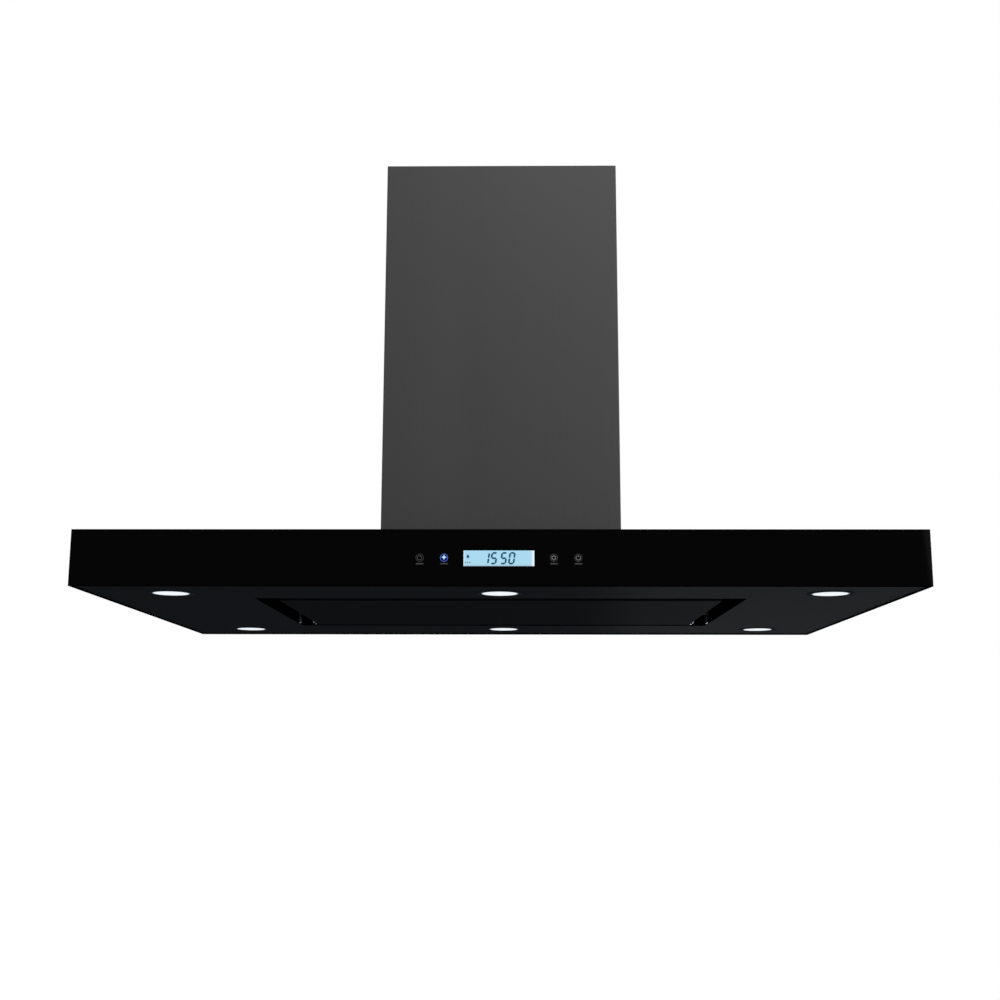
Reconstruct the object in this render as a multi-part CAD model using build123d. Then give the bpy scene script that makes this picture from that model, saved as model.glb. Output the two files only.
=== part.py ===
from build123d import *
from math import cos, radians, sin
import os

# Island range hood: a flat canopy under a telescopic chimney that hangs from a ceiling.
# Millimetres, +Z up, and -Y is the front with the controls. The origin is the middle of the
# ceiling plate's upper face, so the whole hood hangs below z = 0.

# Overall sizes, with the chimney closed up
HOOD_HEIGHT = 538.0
CANOPY_WIDTH = 900.0
CANOPY_DEPTH = 600.0
CANOPY_HEIGHT = 60.0
CHIMNEY_WIDTH = 280.0
CHIMNEY_DEPTH = 300.0

# Thicknesses
COVER_SHEET = 1.0
CANOPY_SHEET = 1.0
PANEL_SHEET = 1.0
BOX_SHEET = 1.0
CEILING_PLATE = 3.0
UPRIGHT_SHEET = 2.0
BRACKET_SHEET = 2.0
GLASS = 4.0
BOARD = 1.6
BEND_RADIUS = 1.4

# Clearances
FIT = 0.3
PRESS = 0.02
RUNNING = 0.06
SCREW_CLEARANCE = 0.15
SLEEVE_GAP = 2.5
CEILING_GAP = 1.5
SEAM_GAP = 0.4

# Chimney covers: two bent halves each, joined by strips behind the side seams
STRIP_SHEET = 1.0
STRIP_OVERLAP = 10.0
STRIP_END = 14.0
FLANGE_LENGTH = 110.0
FLANGE_DEPTH = 14.0
FLANGE_SCREW_SPACING = 80.0
FLANGE_SCREW_INSET = 8.4
UPPER_COVER_LIFT = 7.0
VENT_LENGTH = 64.0
VENT_WIDTH = 5.0
VENT_PITCH = 11.0
VENT_ROWS = 6
VENT_DROP = 22.0
VENT_OFFSET = 72.0

# Ceiling plate
PLATE_INSET = 1.5
ANCHOR_SPACING_X = 160.0
ANCHOR_SPACING_Y = 240.0
ANCHOR_RADIUS = 4.5
DUCT_HOLE_MARGIN = 7.0

# Telescopic frame of angle bars
UPRIGHT_GAP = 5.5
UPPER_LEG = 25.0
LOWER_LEG = 22.0
UPRIGHT_END_GAP = 45.0
CLAMP_INSET = 12.0
CLAMP_PITCH = 25.0
CLAMP_FROM_CORNER = 14.0
SLOT_END = 42.0
CLAMP_SHANK = 2.5
CLAMP_HEAD = 4.5
CLAMP_HEAD_HEIGHT = 3.0
CLAMP_NUT = 4.6
CLAMP_NUT_HEIGHT = 4.0

# Screws
SCREW_SHANK = 2.0
SCREW_HEAD = 3.8
SCREW_HEAD_HEIGHT = 2.4

# Canopy
UNDERSIDE_RECESS = 1.6
EDGE_FLANGE = 8.0
GLASS_CHAMFER = 0.6
OPENING_SIDE_MARGIN = 170.0
OPENING_END_MARGIN = 129.5
HEM_HEIGHT = 18.4
HEM_WIDTH = 10.0

# Perimeter suction panel and its hinge and catches
SIDE_SLOT = 25.0
END_SLOT = 20.0
PANEL_DROP = 0.6
PANEL_RIM = 10.0
PANEL_CORNER = 3.0
PANEL_INNER_CORNER = 2.1
PANEL_EDGE_RADIUS = 0.7
HINGE_INSET = 9.0
HINGE_HEIGHT = 6.0
PIN_RADIUS = 3.0
PIN_COLLAR = 5.0
PIN_COLLAR_LENGTH = 2.0
PIN_HEAD = 4.2
PIN_HEAD_LENGTH = 2.5
HINGE_SIDE_GAP = 0.8
HINGE_PLATE_WIDTH = 14.0
HINGE_TOP_GAP = 2.0
CATCH_INSET = 19.0
CATCH_WIDTH = 18.0
MAGNET_DEPTH = 12.0
MAGNET_SETBACK = 4.0
MAGNET_HEIGHT = 6.0
STRIKER = 1.0

# Grease filters and their latches
FILTER_THICKNESS = 9.0
FILTER_GAP = 1.5
FILTER_FRONT_GAP = 3.0
FILTER_REAR_SEAT = 6.0
FILTER_BORDER = 14.0
FILTER_FRONT_BORDER = 40.0
MESH_THICKNESS = 6.0
LATCH_WIDTH = 40.0
LATCH_STEM_WIDTH = 30.0
LATCH_LENGTH = 20.0
LATCH_TRAVEL = 8.0
LATCH_LIP = 1.8
LATCH_THICKNESS = 4.5
LATCH_GRIP = 5.0
LATCH_GRIP_DROP = 5.0
TONGUE_WIDTH = 22.0
TONGUE_SEAT = 5.0

# Lamps
LAMP_SIDE_INSET = 88.0
LAMP_END_INSET = 78.0
LENS_RADIUS = 20.4
LENS_THICKNESS = 4.0
LAMP_WALL = 2.0
LAMP_HEIGHT = 24.0
BEZEL_WIDTH = 3.0
BEZEL_THICKNESS = 0.6
LAMP_SHOULDER = 2.5

# Controls in the front glass
CONTROL_HEIGHT = 29.2
WINDOW_WIDTH = 74.1
WINDOW_HEIGHT = 16.5
WINDOW_GAP = 0.1
KEY_INNER_X = 57.3
KEY_OUTER_X = 82.8
PAD_RADIUS = 4.5
LCD_MARGIN = 3.0
LCD_DEPTH = 8.0
BOARD_END = 14.0
BOARD_HEIGHT = 28.0
CARRIER_WALL = 2.0

# Control box in the right-hand bay of the canopy
CONTROL_BOX_INSET = 90.0
CONTROL_BOX_WIDTH = 110.0
CONTROL_BOX_LENGTH = 190.0
CONTROL_BOX_HEIGHT = 36.0
CONTROL_BOX_WALL = 2.0
BOSS_RADIUS = 4.0
BOSS_HEIGHT = 6.0
BOSS_INSET = 9.0

# Mains gland
GLAND_BAR_GAP = 20.7
GLAND_BOX_GAP = 13.0
GLAND_BORE = 4.0
GLAND_BODY = 6.0
GLAND_HEAD = 8.0
GLAND_HEIGHT = 14.0
GLAND_NUT_HEIGHT = 5.0

# Blower
BOX_SIDE_GAP = 10.5
BOX_END_GAP = 2.7
BLOWER_HEIGHT = 215.0
BLOWER_FLANGE = 11.0
BLOWER_FLANGE_LENGTH = 120.0
BLOWER_SCREW_SPACING = 90.0
BLOWER_SCREW_INSET = 5.5
INLET_LIP = 8.0
IMPELLER_RADIUS = 64.0
BLADE_DEPTH = 12.0
BLADE_COUNT = 40
BLADE_THICKNESS = 1.2
BLADE_CURVE_RADIUS = 10.0
BLADE_ARC_START = 60.0
BLADE_ARC = 60.0
IMPELLER_HALF_WIDTH = 52.0
RIM_THICKNESS = 3.0
HUB_DISC = 2.0
HUB_RADIUS = 12.0
HUB_LENGTH = 14.0
VOLUTE_GAP = 6.0
VOLUTE_STEP = 3.5
VOLUTE_WALL = 2.0
VOLUTE_SIDE_GAP = 4.0
VOLUTE_BOX_GAP = 3.0
VOLUTE_FLOOR_GAP = 10.0
TONGUE_ANGLE = 50.0
INLET_INSET = 2.0
SHAFT_RADIUS = 4.0
SHAFT_END = 3.0
MOTOR_RADIUS = 36.0
MOTOR_GAP = 5.0
MOTOR_LENGTH = 72.0
MOTOR_FLANGE = 42.0
MOTOR_FLANGE_THICKNESS = 3.0
ARM_COUNT = 3
ARM_WIDTH = 16.0
ARM_SEAT = 10.0

# Duct collar with its back-draught flaps
COLLAR_RADIUS = 73.5
COLLAR_WALL = 2.0
COLLAR_HEIGHT = 60.0
COLLAR_FLANGE = 5.0
FLAP_LEVEL = 30.0
FLAP_SHEET = 1.2
FLAP_EDGE_GAP = 0.7
FLAP_AXIS_GAP = 4.0
BARREL_RADIUS = 3.5
BARREL_LENGTH = 15.0
LEFT_BARREL_Y = 42.0
RIGHT_BARREL_Y = 18.0
ROD_RADIUS = 2.0
LEDGE_WIDTH = 2.5
LEDGE_SHEET = 1.5

# Levels
RIM_Z = -HOOD_HEIGHT
CANOPY_TOP_Z = RIM_Z + CANOPY_HEIGHT
DECK_Z = CANOPY_TOP_Z - CANOPY_SHEET
UNDERSIDE_Z = RIM_Z + UNDERSIDE_RECESS
FLOOR_Z = UNDERSIDE_Z + CANOPY_SHEET
FILTER_Z = UNDERSIDE_Z + HEM_HEIGHT
FILTER_TOP_Z = FILTER_Z + FILTER_THICKNESS
PANEL_Z = UNDERSIDE_Z - PANEL_DROP
PANEL_FLOOR_Z = PANEL_Z + PANEL_SHEET
CONTROL_Z = RIM_Z + CONTROL_HEIGHT
BOX_TOP_Z = CANOPY_TOP_Z + BLOWER_HEIGHT
FLAP_Z = BOX_TOP_Z + FLAP_LEVEL

# Canopy places
HALF_WIDTH = CANOPY_WIDTH / 2
FRONT_Y = -CANOPY_DEPTH / 2
BODY_FRONT_Y = FRONT_Y + GLASS
REAR_Y = CANOPY_DEPTH / 2
INNER_FRONT_Y = BODY_FRONT_Y + CANOPY_SHEET
OPENING_WIDTH = CANOPY_WIDTH - 2 * OPENING_SIDE_MARGIN
OPENING_DEPTH = CANOPY_DEPTH - 2 * OPENING_END_MARGIN
ARM_TOP_Z = FILTER_Z - CANOPY_SHEET - HINGE_TOP_GAP
CONTROL_BOX_X = HALF_WIDTH - CONTROL_BOX_INSET
LAMP_X = HALF_WIDTH - LAMP_SIDE_INSET
LAMP_Y = REAR_Y - LAMP_END_INSET

# Chimney places: outer half sizes of the two covers
LOWER_X = CHIMNEY_WIDTH / 2
LOWER_Y = CHIMNEY_DEPTH / 2
UPPER_X = LOWER_X - COVER_SHEET - SLEEVE_GAP
UPPER_Y = LOWER_Y - COVER_SHEET - SLEEVE_GAP
UPPER_INNER_X = UPPER_X - COVER_SHEET
UPPER_INNER_Y = UPPER_Y - COVER_SHEET

# Telescopic frame places: outer corner of the upper and lower angle bars
UPPER_CORNER_X = UPPER_INNER_X - UPRIGHT_GAP
UPPER_CORNER_Y = UPPER_INNER_Y - UPRIGHT_GAP
LOWER_CORNER_X = UPPER_CORNER_X - UPRIGHT_SHEET - FIT
LOWER_CORNER_Y = UPPER_CORNER_Y - UPRIGHT_SHEET - FIT
UPPER_UPRIGHT_BOTTOM_Z = CANOPY_TOP_Z + UPRIGHT_END_GAP
LOWER_UPRIGHT_TOP_Z = -CEILING_PLATE - UPRIGHT_END_GAP
CLAMP_Y = UPPER_CORNER_Y - CLAMP_FROM_CORNER
CLAMP_TOP_Z = LOWER_UPRIGHT_TOP_Z - CLAMP_INSET
CLAMP_LEVELS = (CLAMP_TOP_Z, CLAMP_TOP_Z - CLAMP_PITCH)
UPPER_FOOT = (UPPER_CORNER_X - UPPER_LEG / 2, UPPER_CORNER_Y - UPPER_LEG / 2)
LOWER_FOOT = (LOWER_CORNER_X - LOWER_LEG / 2, LOWER_CORNER_Y - LOWER_LEG / 2)

# Perimeter panel places
PANEL_X = OPENING_WIDTH / 2 - SIDE_SLOT
PANEL_Y = OPENING_DEPTH / 2 - END_SLOT
HINGE_Y = PANEL_Y - HINGE_INSET
HINGE_Z = PANEL_Z + HINGE_HEIGHT
CATCH_X = PANEL_X - CATCH_INSET

# Filter places, for the right-hand filter
FILTER_X = (FILTER_GAP, OPENING_WIDTH / 2 - FILTER_GAP)
FILTER_Y = (-OPENING_DEPTH / 2 + FILTER_FRONT_GAP, OPENING_DEPTH / 2 + FILTER_REAR_SEAT)
FILTER_MIDDLE_X = sum(FILTER_X) / 2
LATCH_FRONT_Y = FILTER_Y[0] + FILTER_FRONT_GAP
LATCH_BACK_Y = LATCH_FRONT_Y + LATCH_LENGTH

# Blower places: the volute is an arc spiral round an axis along Y
BOX_X = UPPER_INNER_X - BOX_SIDE_GAP
BOX_Y = LOWER_CORNER_Y - LOWER_LEG - BOX_END_GAP
GLAND_X = LOWER_CORNER_X - LOWER_LEG - GLAND_BAR_GAP
GLAND_Y = BOX_Y + GLAND_BOX_GAP
VOLUTE_START = IMPELLER_RADIUS + VOLUTE_GAP
VOLUTE_LEFT = VOLUTE_START + 3 * VOLUTE_STEP
VOLUTE_BOTTOM = VOLUTE_START + 5 * VOLUTE_STEP
VOLUTE_RIGHT = VOLUTE_START + 7 * VOLUTE_STEP
VOLUTE_HALF = IMPELLER_HALF_WIDTH + VOLUTE_SIDE_GAP + VOLUTE_WALL
BLOWER_X = VOLUTE_LEFT + VOLUTE_WALL + VOLUTE_BOX_GAP + BOX_SHEET - BOX_X
BLOWER_Z = CANOPY_TOP_Z + VOLUTE_FLOOR_GAP + VOLUTE_WALL + VOLUTE_BOTTOM
TONGUE_X = VOLUTE_START * cos(radians(TONGUE_ANGLE)) - VOLUTE_STEP
INLET_RADIUS = IMPELLER_RADIUS - BLADE_DEPTH + INLET_INSET
DUCT_X = BLOWER_X + (TONGUE_X + VOLUTE_RIGHT) / 2
DUCT_HOLE_RADIUS = COLLAR_RADIUS + DUCT_HOLE_MARGIN
COLLAR_BORE = COLLAR_RADIUS - COLLAR_WALL

LAMP_PLACES = {
    f"{row}_{place}": (x, y)
    for row, y in (("front", -LAMP_Y), ("rear", LAMP_Y))
    for place, x in (("left", -LAMP_X), ("middle", 0.0), ("right", LAMP_X))
}


def block(x, y, z):
    """Box between a (low, high) pair on each axis."""
    middle = [sum(pair) / 2 for pair in (x, y, z)]
    size = [abs(pair[1] - pair[0]) for pair in (x, y, z)]
    return Pos(*middle) * Box(*size)


def around(middle, size):
    """The (low, high) pair of a size about a middle."""
    return (middle - size / 2, middle + size / 2)


def rod_x(radius, x, y, z):
    """Cylinder along X between the pair x."""
    return Pos(sum(x) / 2, y, z) * Rot(0, 90, 0) * Cylinder(radius, abs(x[1] - x[0]))


def rod_y(radius, x, y, z):
    """Cylinder along Y between the pair y."""
    return Pos(x, sum(y) / 2, z) * Rot(90, 0, 0) * Cylinder(radius, abs(y[1] - y[0]))


def rod_z(radius, x, y, z):
    """Cylinder along Z between the pair z."""
    return Pos(x, y, sum(z) / 2) * Cylinder(radius, abs(z[1] - z[0]))


def corners(x, y):
    """The four places that mirror one place in both middle planes."""
    return [(side * x, end * y) for side in (-1, 1) for end in (-1, 1)]


def mirrored(shape):
    """The shape seen in the middle plane between left and right."""
    return mirror(shape, about=Plane.YZ)


def four(shape):
    """A shape from the right rear corner, set in all four corners."""
    pair = [shape, mirrored(shape)]
    return Compound(children=pair + [mirror(piece, about=Plane.XZ) for piece in pair])


def screw(x, y, seat, depth, up=False):
    """Pan-head screw whose head lies on the level seat; up turns its head downwards."""
    way = -1 if up else 1
    head = rod_z(SCREW_HEAD, x, y, sorted((seat, seat + way * SCREW_HEAD_HEIGHT)))
    return head + rod_z(SCREW_SHANK, x, y, sorted((seat - way * depth, seat)))


def screw_hole(x, y, z):
    """Clearance hole for a screw through the levels z."""
    return rod_z(SCREW_SHANK + SCREW_CLEARANCE, x, y, (z[0] - FIT, z[1] + FIT))


# Chimney


def cover_half(half_x, half_y, z):
    """Front half of a chimney cover: a sheet bent to a U, open at the middle plane."""
    outer = block((-half_x, half_x), (-half_y, -SEAM_GAP / 2), z)
    bends = outer.edges().filter_by(Axis.Z).group_by(Axis.Y)[0]
    outer = fillet(bends, BEND_RADIUS)
    inner_x = half_x - COVER_SHEET
    return outer - block((-inner_x, inner_x), (COVER_SHEET - half_y, half_y), z)


def seam_strips(half_x, z):
    """Two strips behind the side seams, fixed to the front half of a cover."""
    inner_x = half_x - COVER_SHEET
    inset = (z[0] + STRIP_END, z[1] - STRIP_END)
    strip = block((inner_x - STRIP_SHEET, inner_x), (-STRIP_OVERLAP, STRIP_OVERLAP), inset)
    return strip + mirrored(strip)


def cover_flange(half_y, z):
    """Inward flange of a front half, with its two screw holes."""
    depth = (-half_y + COVER_SHEET / 2, -half_y + COVER_SHEET + FLANGE_DEPTH)
    flange = block(around(0, FLANGE_LENGTH), depth, z)
    for x, y in flange_screws(half_y):
        flange -= screw_hole(x, y, z)
    return flange


def flange_screws(half_y):
    """Places of the two screws in a front half's flange."""
    y = -half_y + COVER_SHEET + FLANGE_SCREW_INSET
    return [(side * FLANGE_SCREW_SPACING / 2, y) for side in (-1, 1)]


def vents():
    """Rows of air slots through both sides of the upper cover's front half."""
    rows = [-CEILING_PLATE - VENT_DROP - row * VENT_PITCH for row in range(VENT_ROWS)]
    slots = [
        block((-LOWER_X, LOWER_X), around(-VENT_OFFSET, VENT_LENGTH), around(z, VENT_WIDTH))
        for z in rows
    ]
    return Part() + slots


def upper_covers():
    """Front and rear half of the upper cover, hung from the ceiling plate."""
    z = (CANOPY_TOP_Z + UPPER_COVER_LIFT, -CEILING_GAP)
    half = cover_half(UPPER_X, UPPER_Y, z) - vents()
    half += cover_flange(UPPER_Y, (-CEILING_PLATE - COVER_SHEET, -CEILING_PLATE))
    return half + seam_strips(UPPER_X, z), Rot(0, 0, 180) * half


def lower_covers():
    """Front and rear half of the lower cover, screwed down on the canopy."""
    z = (CANOPY_TOP_Z, -CEILING_GAP)
    half = cover_half(LOWER_X, LOWER_Y, z)
    half += cover_flange(LOWER_Y, (CANOPY_TOP_Z, CANOPY_TOP_Z + COVER_SHEET))
    return half + seam_strips(LOWER_X, z), Rot(0, 0, 180) * half


def ceiling_plate():
    """Plate that is bolted to the ceiling, with a round way through for the duct."""
    z = (-CEILING_PLATE, 0)
    half_x = UPPER_INNER_X - PLATE_INSET
    half_y = UPPER_INNER_Y - PLATE_INSET
    plate = block((-half_x, half_x), (-half_y, half_y), z)
    plate -= rod_z(DUCT_HOLE_RADIUS, DUCT_X, 0, z)
    for x, y in corners(ANCHOR_SPACING_X / 2, ANCHOR_SPACING_Y / 2):
        plate -= rod_z(ANCHOR_RADIUS, x, y, z)
    for x, y in corners(*UPPER_FOOT) + corners(*flange_screws(UPPER_Y)[1]):
        plate -= screw_hole(x, y, z)
    return plate


# Telescopic frame


def angle_bar(corner_x, corner_y, leg, z):
    """Angle bar whose outer corner is at the right rear."""
    across = block((corner_x - leg, corner_x), (corner_y - UPRIGHT_SHEET, corner_y), z)
    along = block((corner_x - UPRIGHT_SHEET, corner_x), (corner_y - leg, corner_y), z)
    return across + along


def bar_foot(corner_x, corner_y, leg, z, place):
    """Square foot in the corner of an angle bar, with a screw hole."""
    foot = block((corner_x - leg, corner_x), (corner_y - leg, corner_y), z)
    return foot - screw_hole(*place, z)


def upper_uprights():
    """Four bars under the ceiling plate, each with a long slot for the clamp bolts."""
    bar_z = (UPPER_UPRIGHT_BOTTOM_Z, -CEILING_PLATE)
    bar = angle_bar(UPPER_CORNER_X, UPPER_CORNER_Y, UPPER_LEG, bar_z)
    foot_z = (-CEILING_PLATE - UPRIGHT_SHEET, -CEILING_PLATE)
    bar += bar_foot(UPPER_CORNER_X, UPPER_CORNER_Y, UPPER_LEG, foot_z, UPPER_FOOT)
    through = (UPPER_CORNER_X - UPRIGHT_SHEET - FIT, UPPER_CORNER_X + FIT)
    radius = CLAMP_SHANK + FIT
    ends = (UPPER_UPRIGHT_BOTTOM_Z + SLOT_END, CLAMP_LEVELS[0])
    bar -= block(through, around(CLAMP_Y, 2 * radius), ends)
    for z in ends:
        bar -= rod_x(radius, through, CLAMP_Y, z)
    return four(bar)


def lower_uprights():
    """Four bars that stand on the canopy inside the upper ones."""
    bar_z = (CANOPY_TOP_Z, LOWER_UPRIGHT_TOP_Z)
    bar = angle_bar(LOWER_CORNER_X, LOWER_CORNER_Y, LOWER_LEG, bar_z)
    foot_z = (CANOPY_TOP_Z, CANOPY_TOP_Z + UPRIGHT_SHEET)
    bar += bar_foot(LOWER_CORNER_X, LOWER_CORNER_Y, LOWER_LEG, foot_z, LOWER_FOOT)
    through = (LOWER_CORNER_X - UPRIGHT_SHEET - FIT, LOWER_CORNER_X + FIT)
    for z in CLAMP_LEVELS:
        bar -= rod_x(CLAMP_SHANK + SCREW_CLEARANCE, through, CLAMP_Y, z)
    return four(bar)


def clamp_bolts():
    """Two bolts and nuts in each corner, which clamp the lower bars to the upper ones."""
    head = (UPPER_CORNER_X + FIT, UPPER_CORNER_X + FIT + CLAMP_HEAD_HEIGHT)
    inside = LOWER_CORNER_X - UPRIGHT_SHEET
    nut = (inside - CLAMP_NUT_HEIGHT, inside)
    section = RegularPolygon(CLAMP_NUT, 6) - Circle(CLAMP_SHANK + PRESS)
    hexagon = extrude(section, CLAMP_NUT_HEIGHT)
    pieces = []
    for z in CLAMP_LEVELS:
        bolt = rod_x(CLAMP_HEAD, head, CLAMP_Y, z)
        bolt += rod_x(CLAMP_SHANK, (nut[0] - CLAMP_SHANK, head[0]), CLAMP_Y, z)
        pieces += [bolt, Pos(nut[0], CLAMP_Y, z) * Rot(0, 90, 0) * hexagon]
    return Compound(children=[four(piece) for piece in pieces])


def ceiling_screws():
    """Screws that hold the upper bars and the upper cover to the ceiling plate."""
    bar_seat = -CEILING_PLATE - UPRIGHT_SHEET
    cover_seat = -CEILING_PLATE - COVER_SHEET
    places = [(x, y, bar_seat) for x, y in corners(*UPPER_FOOT)]
    places += [(x, y, cover_seat) for x, y in corners(*flange_screws(UPPER_Y)[1])]
    return Compound(children=[screw(x, y, seat, -seat - FIT, up=True) for x, y, seat in places])


def canopy_screws():
    """Screws that hold the lower bars, the lower cover and the blower to the canopy."""
    places = [(x, y, UPRIGHT_SHEET) for x, y in corners(*LOWER_FOOT)]
    places += [(x, y, COVER_SHEET) for x, y in corners(*flange_screws(LOWER_Y)[1])]
    places += [(x, y, BOX_SHEET) for x, y in blower_screws()]
    depth = CANOPY_SHEET + SCREW_SHANK
    return Compound(
        children=[screw(x, y, CANOPY_TOP_Z + sheet, sheet + depth) for x, y, sheet in places]
    )


# Canopy


def canopy_shell():
    """Tray that is open below: top, two sides, back, and a front wall behind the glass."""
    outer = block((-HALF_WIDTH, HALF_WIDTH), (BODY_FRONT_Y, REAR_Y), (RIM_Z, CANOPY_TOP_Z))
    top = outer.faces().sort_by(Axis.Z)[-1]
    bends = top.edges().sort_by(Axis.Y)[1:] + outer.edges().filter_by(Axis.Z).group_by(Axis.Y)[-1]
    outer = fillet(bends, BEND_RADIUS)
    inner_x = HALF_WIDTH - CANOPY_SHEET
    inner_y = (INNER_FRONT_Y, REAR_Y - CANOPY_SHEET)
    shell = outer - block((-inner_x, inner_x), inner_y, (RIM_Z, DECK_Z))
    deck = (DECK_Z, CANOPY_TOP_Z)
    shell -= block(around(0, 2 * (BOX_X - INLET_LIP)), around(0, 2 * (BOX_Y - INLET_LIP)), deck)
    shell -= rod_z(GLAND_BODY + FIT, GLAND_X, GLAND_Y, deck)
    screws = corners(*LOWER_FOOT) + corners(*flange_screws(LOWER_Y)[1]) + blower_screws()
    for x, y in screws:
        shell -= screw_hole(x, y, deck)
    return shell - control_window()


def control_window():
    """Cutter through the canopy's front wall, behind the controls."""
    rest = 2 * CARRIER_WALL
    wall = (BODY_FRONT_Y - FIT, INNER_FRONT_Y + FIT)
    return block(around(0, board_width() - rest), wall, around(CONTROL_Z, BOARD_HEIGHT - rest))


def front_glass():
    """Dark glass strip over the canopy's whole front, with a window for the clock."""
    glass = block((-HALF_WIDTH, HALF_WIDTH), (FRONT_Y, BODY_FRONT_Y), (RIM_Z, CANOPY_TOP_Z))
    glass = chamfer(glass.faces().sort_by(Axis.Y)[0].edges(), GLASS_CHAMFER)
    depth = (FRONT_Y - FIT, BODY_FRONT_Y + FIT)
    return glass - block(around(0, WINDOW_WIDTH), depth, around(CONTROL_Z, WINDOW_HEIGHT))


def display_window():
    """Clear insert that fills the window flush with the glass."""
    width = WINDOW_WIDTH - 2 * WINDOW_GAP
    height = WINDOW_HEIGHT - 2 * WINDOW_GAP
    return block(around(0, width), (FRONT_Y, BODY_FRONT_Y), around(CONTROL_Z, height))


def underside_panel():
    """Bottom of the canopy: turned up at its edges and round the suction opening."""
    half_x = HALF_WIDTH - CANOPY_SHEET - FIT
    y = (INNER_FRONT_Y + FIT, REAR_Y - CANOPY_SHEET - FIT)
    edge_z = (UNDERSIDE_Z, FLOOR_Z + EDGE_FLANGE)
    tray = block((-half_x, half_x), y, edge_z)
    inner_y = (y[0] + CANOPY_SHEET, y[1] - CANOPY_SHEET)
    tray -= block(around(0, 2 * (half_x - CANOPY_SHEET)), inner_y, (FLOOR_Z, edge_z[1] + FIT))
    wall = 2 * CANOPY_SHEET
    wall_z = (UNDERSIDE_Z, FILTER_Z)
    tray += block(around(0, OPENING_WIDTH + wall), around(0, OPENING_DEPTH + wall), wall_z)
    hem = wall + 2 * HEM_WIDTH
    hem_z = (FILTER_Z - CANOPY_SHEET, FILTER_Z)
    tray += block(around(0, OPENING_WIDTH + hem), around(0, OPENING_DEPTH + hem), hem_z)
    opening_z = (UNDERSIDE_Z - FIT, FILTER_Z + FIT)
    tray -= block(around(0, OPENING_WIDTH), around(0, OPENING_DEPTH), opening_z)
    for x, y in LAMP_PLACES.values():
        tray -= rod_z(lamp_radius() + FIT, x, y, (UNDERSIDE_Z - FIT, FLOOR_Z + FIT))
    return tray


# Lamps


def lamp_radius():
    """Outer radius of a lamp's can."""
    return LENS_RADIUS + PRESS + LAMP_WALL


def lamp_housing(x, y):
    """Lamp can with a thin bezel under the canopy's underside and a shoulder for the lens."""
    bezel_z = UNDERSIDE_Z - BEZEL_THICKNESS
    can = rod_z(lamp_radius(), x, y, (bezel_z, UNDERSIDE_Z + LAMP_HEIGHT))
    can += rod_z(lamp_radius() + BEZEL_WIDTH, x, y, (bezel_z, UNDERSIDE_Z))
    can -= rod_z(LENS_RADIUS + PRESS, x, y, (bezel_z, bezel_z + LENS_THICKNESS))
    cavity = (bezel_z + LENS_THICKNESS, UNDERSIDE_Z + LAMP_HEIGHT - LAMP_WALL)
    return can - rod_z(LENS_RADIUS - LAMP_SHOULDER, x, y, cavity)


def lamp_lens(x, y):
    """Diffusing disc, flush with the bezel."""
    bezel_z = UNDERSIDE_Z - BEZEL_THICKNESS
    return rod_z(LENS_RADIUS, x, y, (bezel_z, bezel_z + LENS_THICKNESS))


# Controls


def board_width():
    """Width of the touch board, past the outer keys."""
    return 2 * (KEY_OUTER_X + BOARD_END)


def board_front_y():
    """Front face of the touch board, behind the display."""
    return BODY_FRONT_Y + LCD_DEPTH


def touch_board():
    """Circuit board behind the glass."""
    y = (board_front_y(), board_front_y() + BOARD)
    return block(around(0, board_width()), y, around(CONTROL_Z, BOARD_HEIGHT))


def lcd_module():
    """Clock display between the window and the board."""
    size = (WINDOW_WIDTH + 2 * LCD_MARGIN, WINDOW_HEIGHT + 2 * LCD_MARGIN)
    return block(around(0, size[0]), (BODY_FRONT_Y, board_front_y()), around(CONTROL_Z, size[1]))


def touch_pads():
    """Four sensor pads pressed on the back of the glass."""
    places = [side * x for x in (KEY_INNER_X, KEY_OUTER_X) for side in (-1, 1)]
    y = (BODY_FRONT_Y, board_front_y())
    return Compound(children=[rod_y(PAD_RADIUS, x, y, CONTROL_Z) for x in places])


def control_carrier():
    """Tray that holds the board against the canopy's front wall."""
    wall = 2 * (CARRIER_WALL + FIT)
    back = board_front_y() + BOARD
    z = around(CONTROL_Z, BOARD_HEIGHT + wall)
    tray = block(around(0, board_width() + wall), (INNER_FRONT_Y, back + CARRIER_WALL), z)
    pocket_y = (INNER_FRONT_Y - FIT, back)
    pocket_z = around(CONTROL_Z, BOARD_HEIGHT + 2 * FIT)
    return tray - block(around(0, board_width() + 2 * FIT), pocket_y, pocket_z)


def control_box():
    """Box under the canopy's top, open below, with four bosses for its board."""
    x = around(CONTROL_BOX_X, CONTROL_BOX_WIDTH)
    y = around(0, CONTROL_BOX_LENGTH)
    box = block(x, y, (DECK_Z - CONTROL_BOX_HEIGHT, DECK_Z))
    inner = 2 * CONTROL_BOX_WALL
    box -= block(
        around(CONTROL_BOX_X, CONTROL_BOX_WIDTH - inner),
        around(0, CONTROL_BOX_LENGTH - inner),
        (DECK_Z - CONTROL_BOX_HEIGHT, DECK_Z - CONTROL_BOX_WALL),
    )
    inset = CONTROL_BOX_WALL + BOSS_INSET
    boss_z = (power_board_z()[1], DECK_Z - CONTROL_BOX_WALL)
    for dx, dy in corners(CONTROL_BOX_WIDTH / 2 - inset, CONTROL_BOX_LENGTH / 2 - inset):
        box += rod_z(BOSS_RADIUS, CONTROL_BOX_X + dx, dy, boss_z)
    return box


def power_board_z():
    """Levels of the power board, which hangs on the bosses."""
    top = DECK_Z - CONTROL_BOX_WALL - BOSS_HEIGHT
    return (top - BOARD, top)


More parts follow.
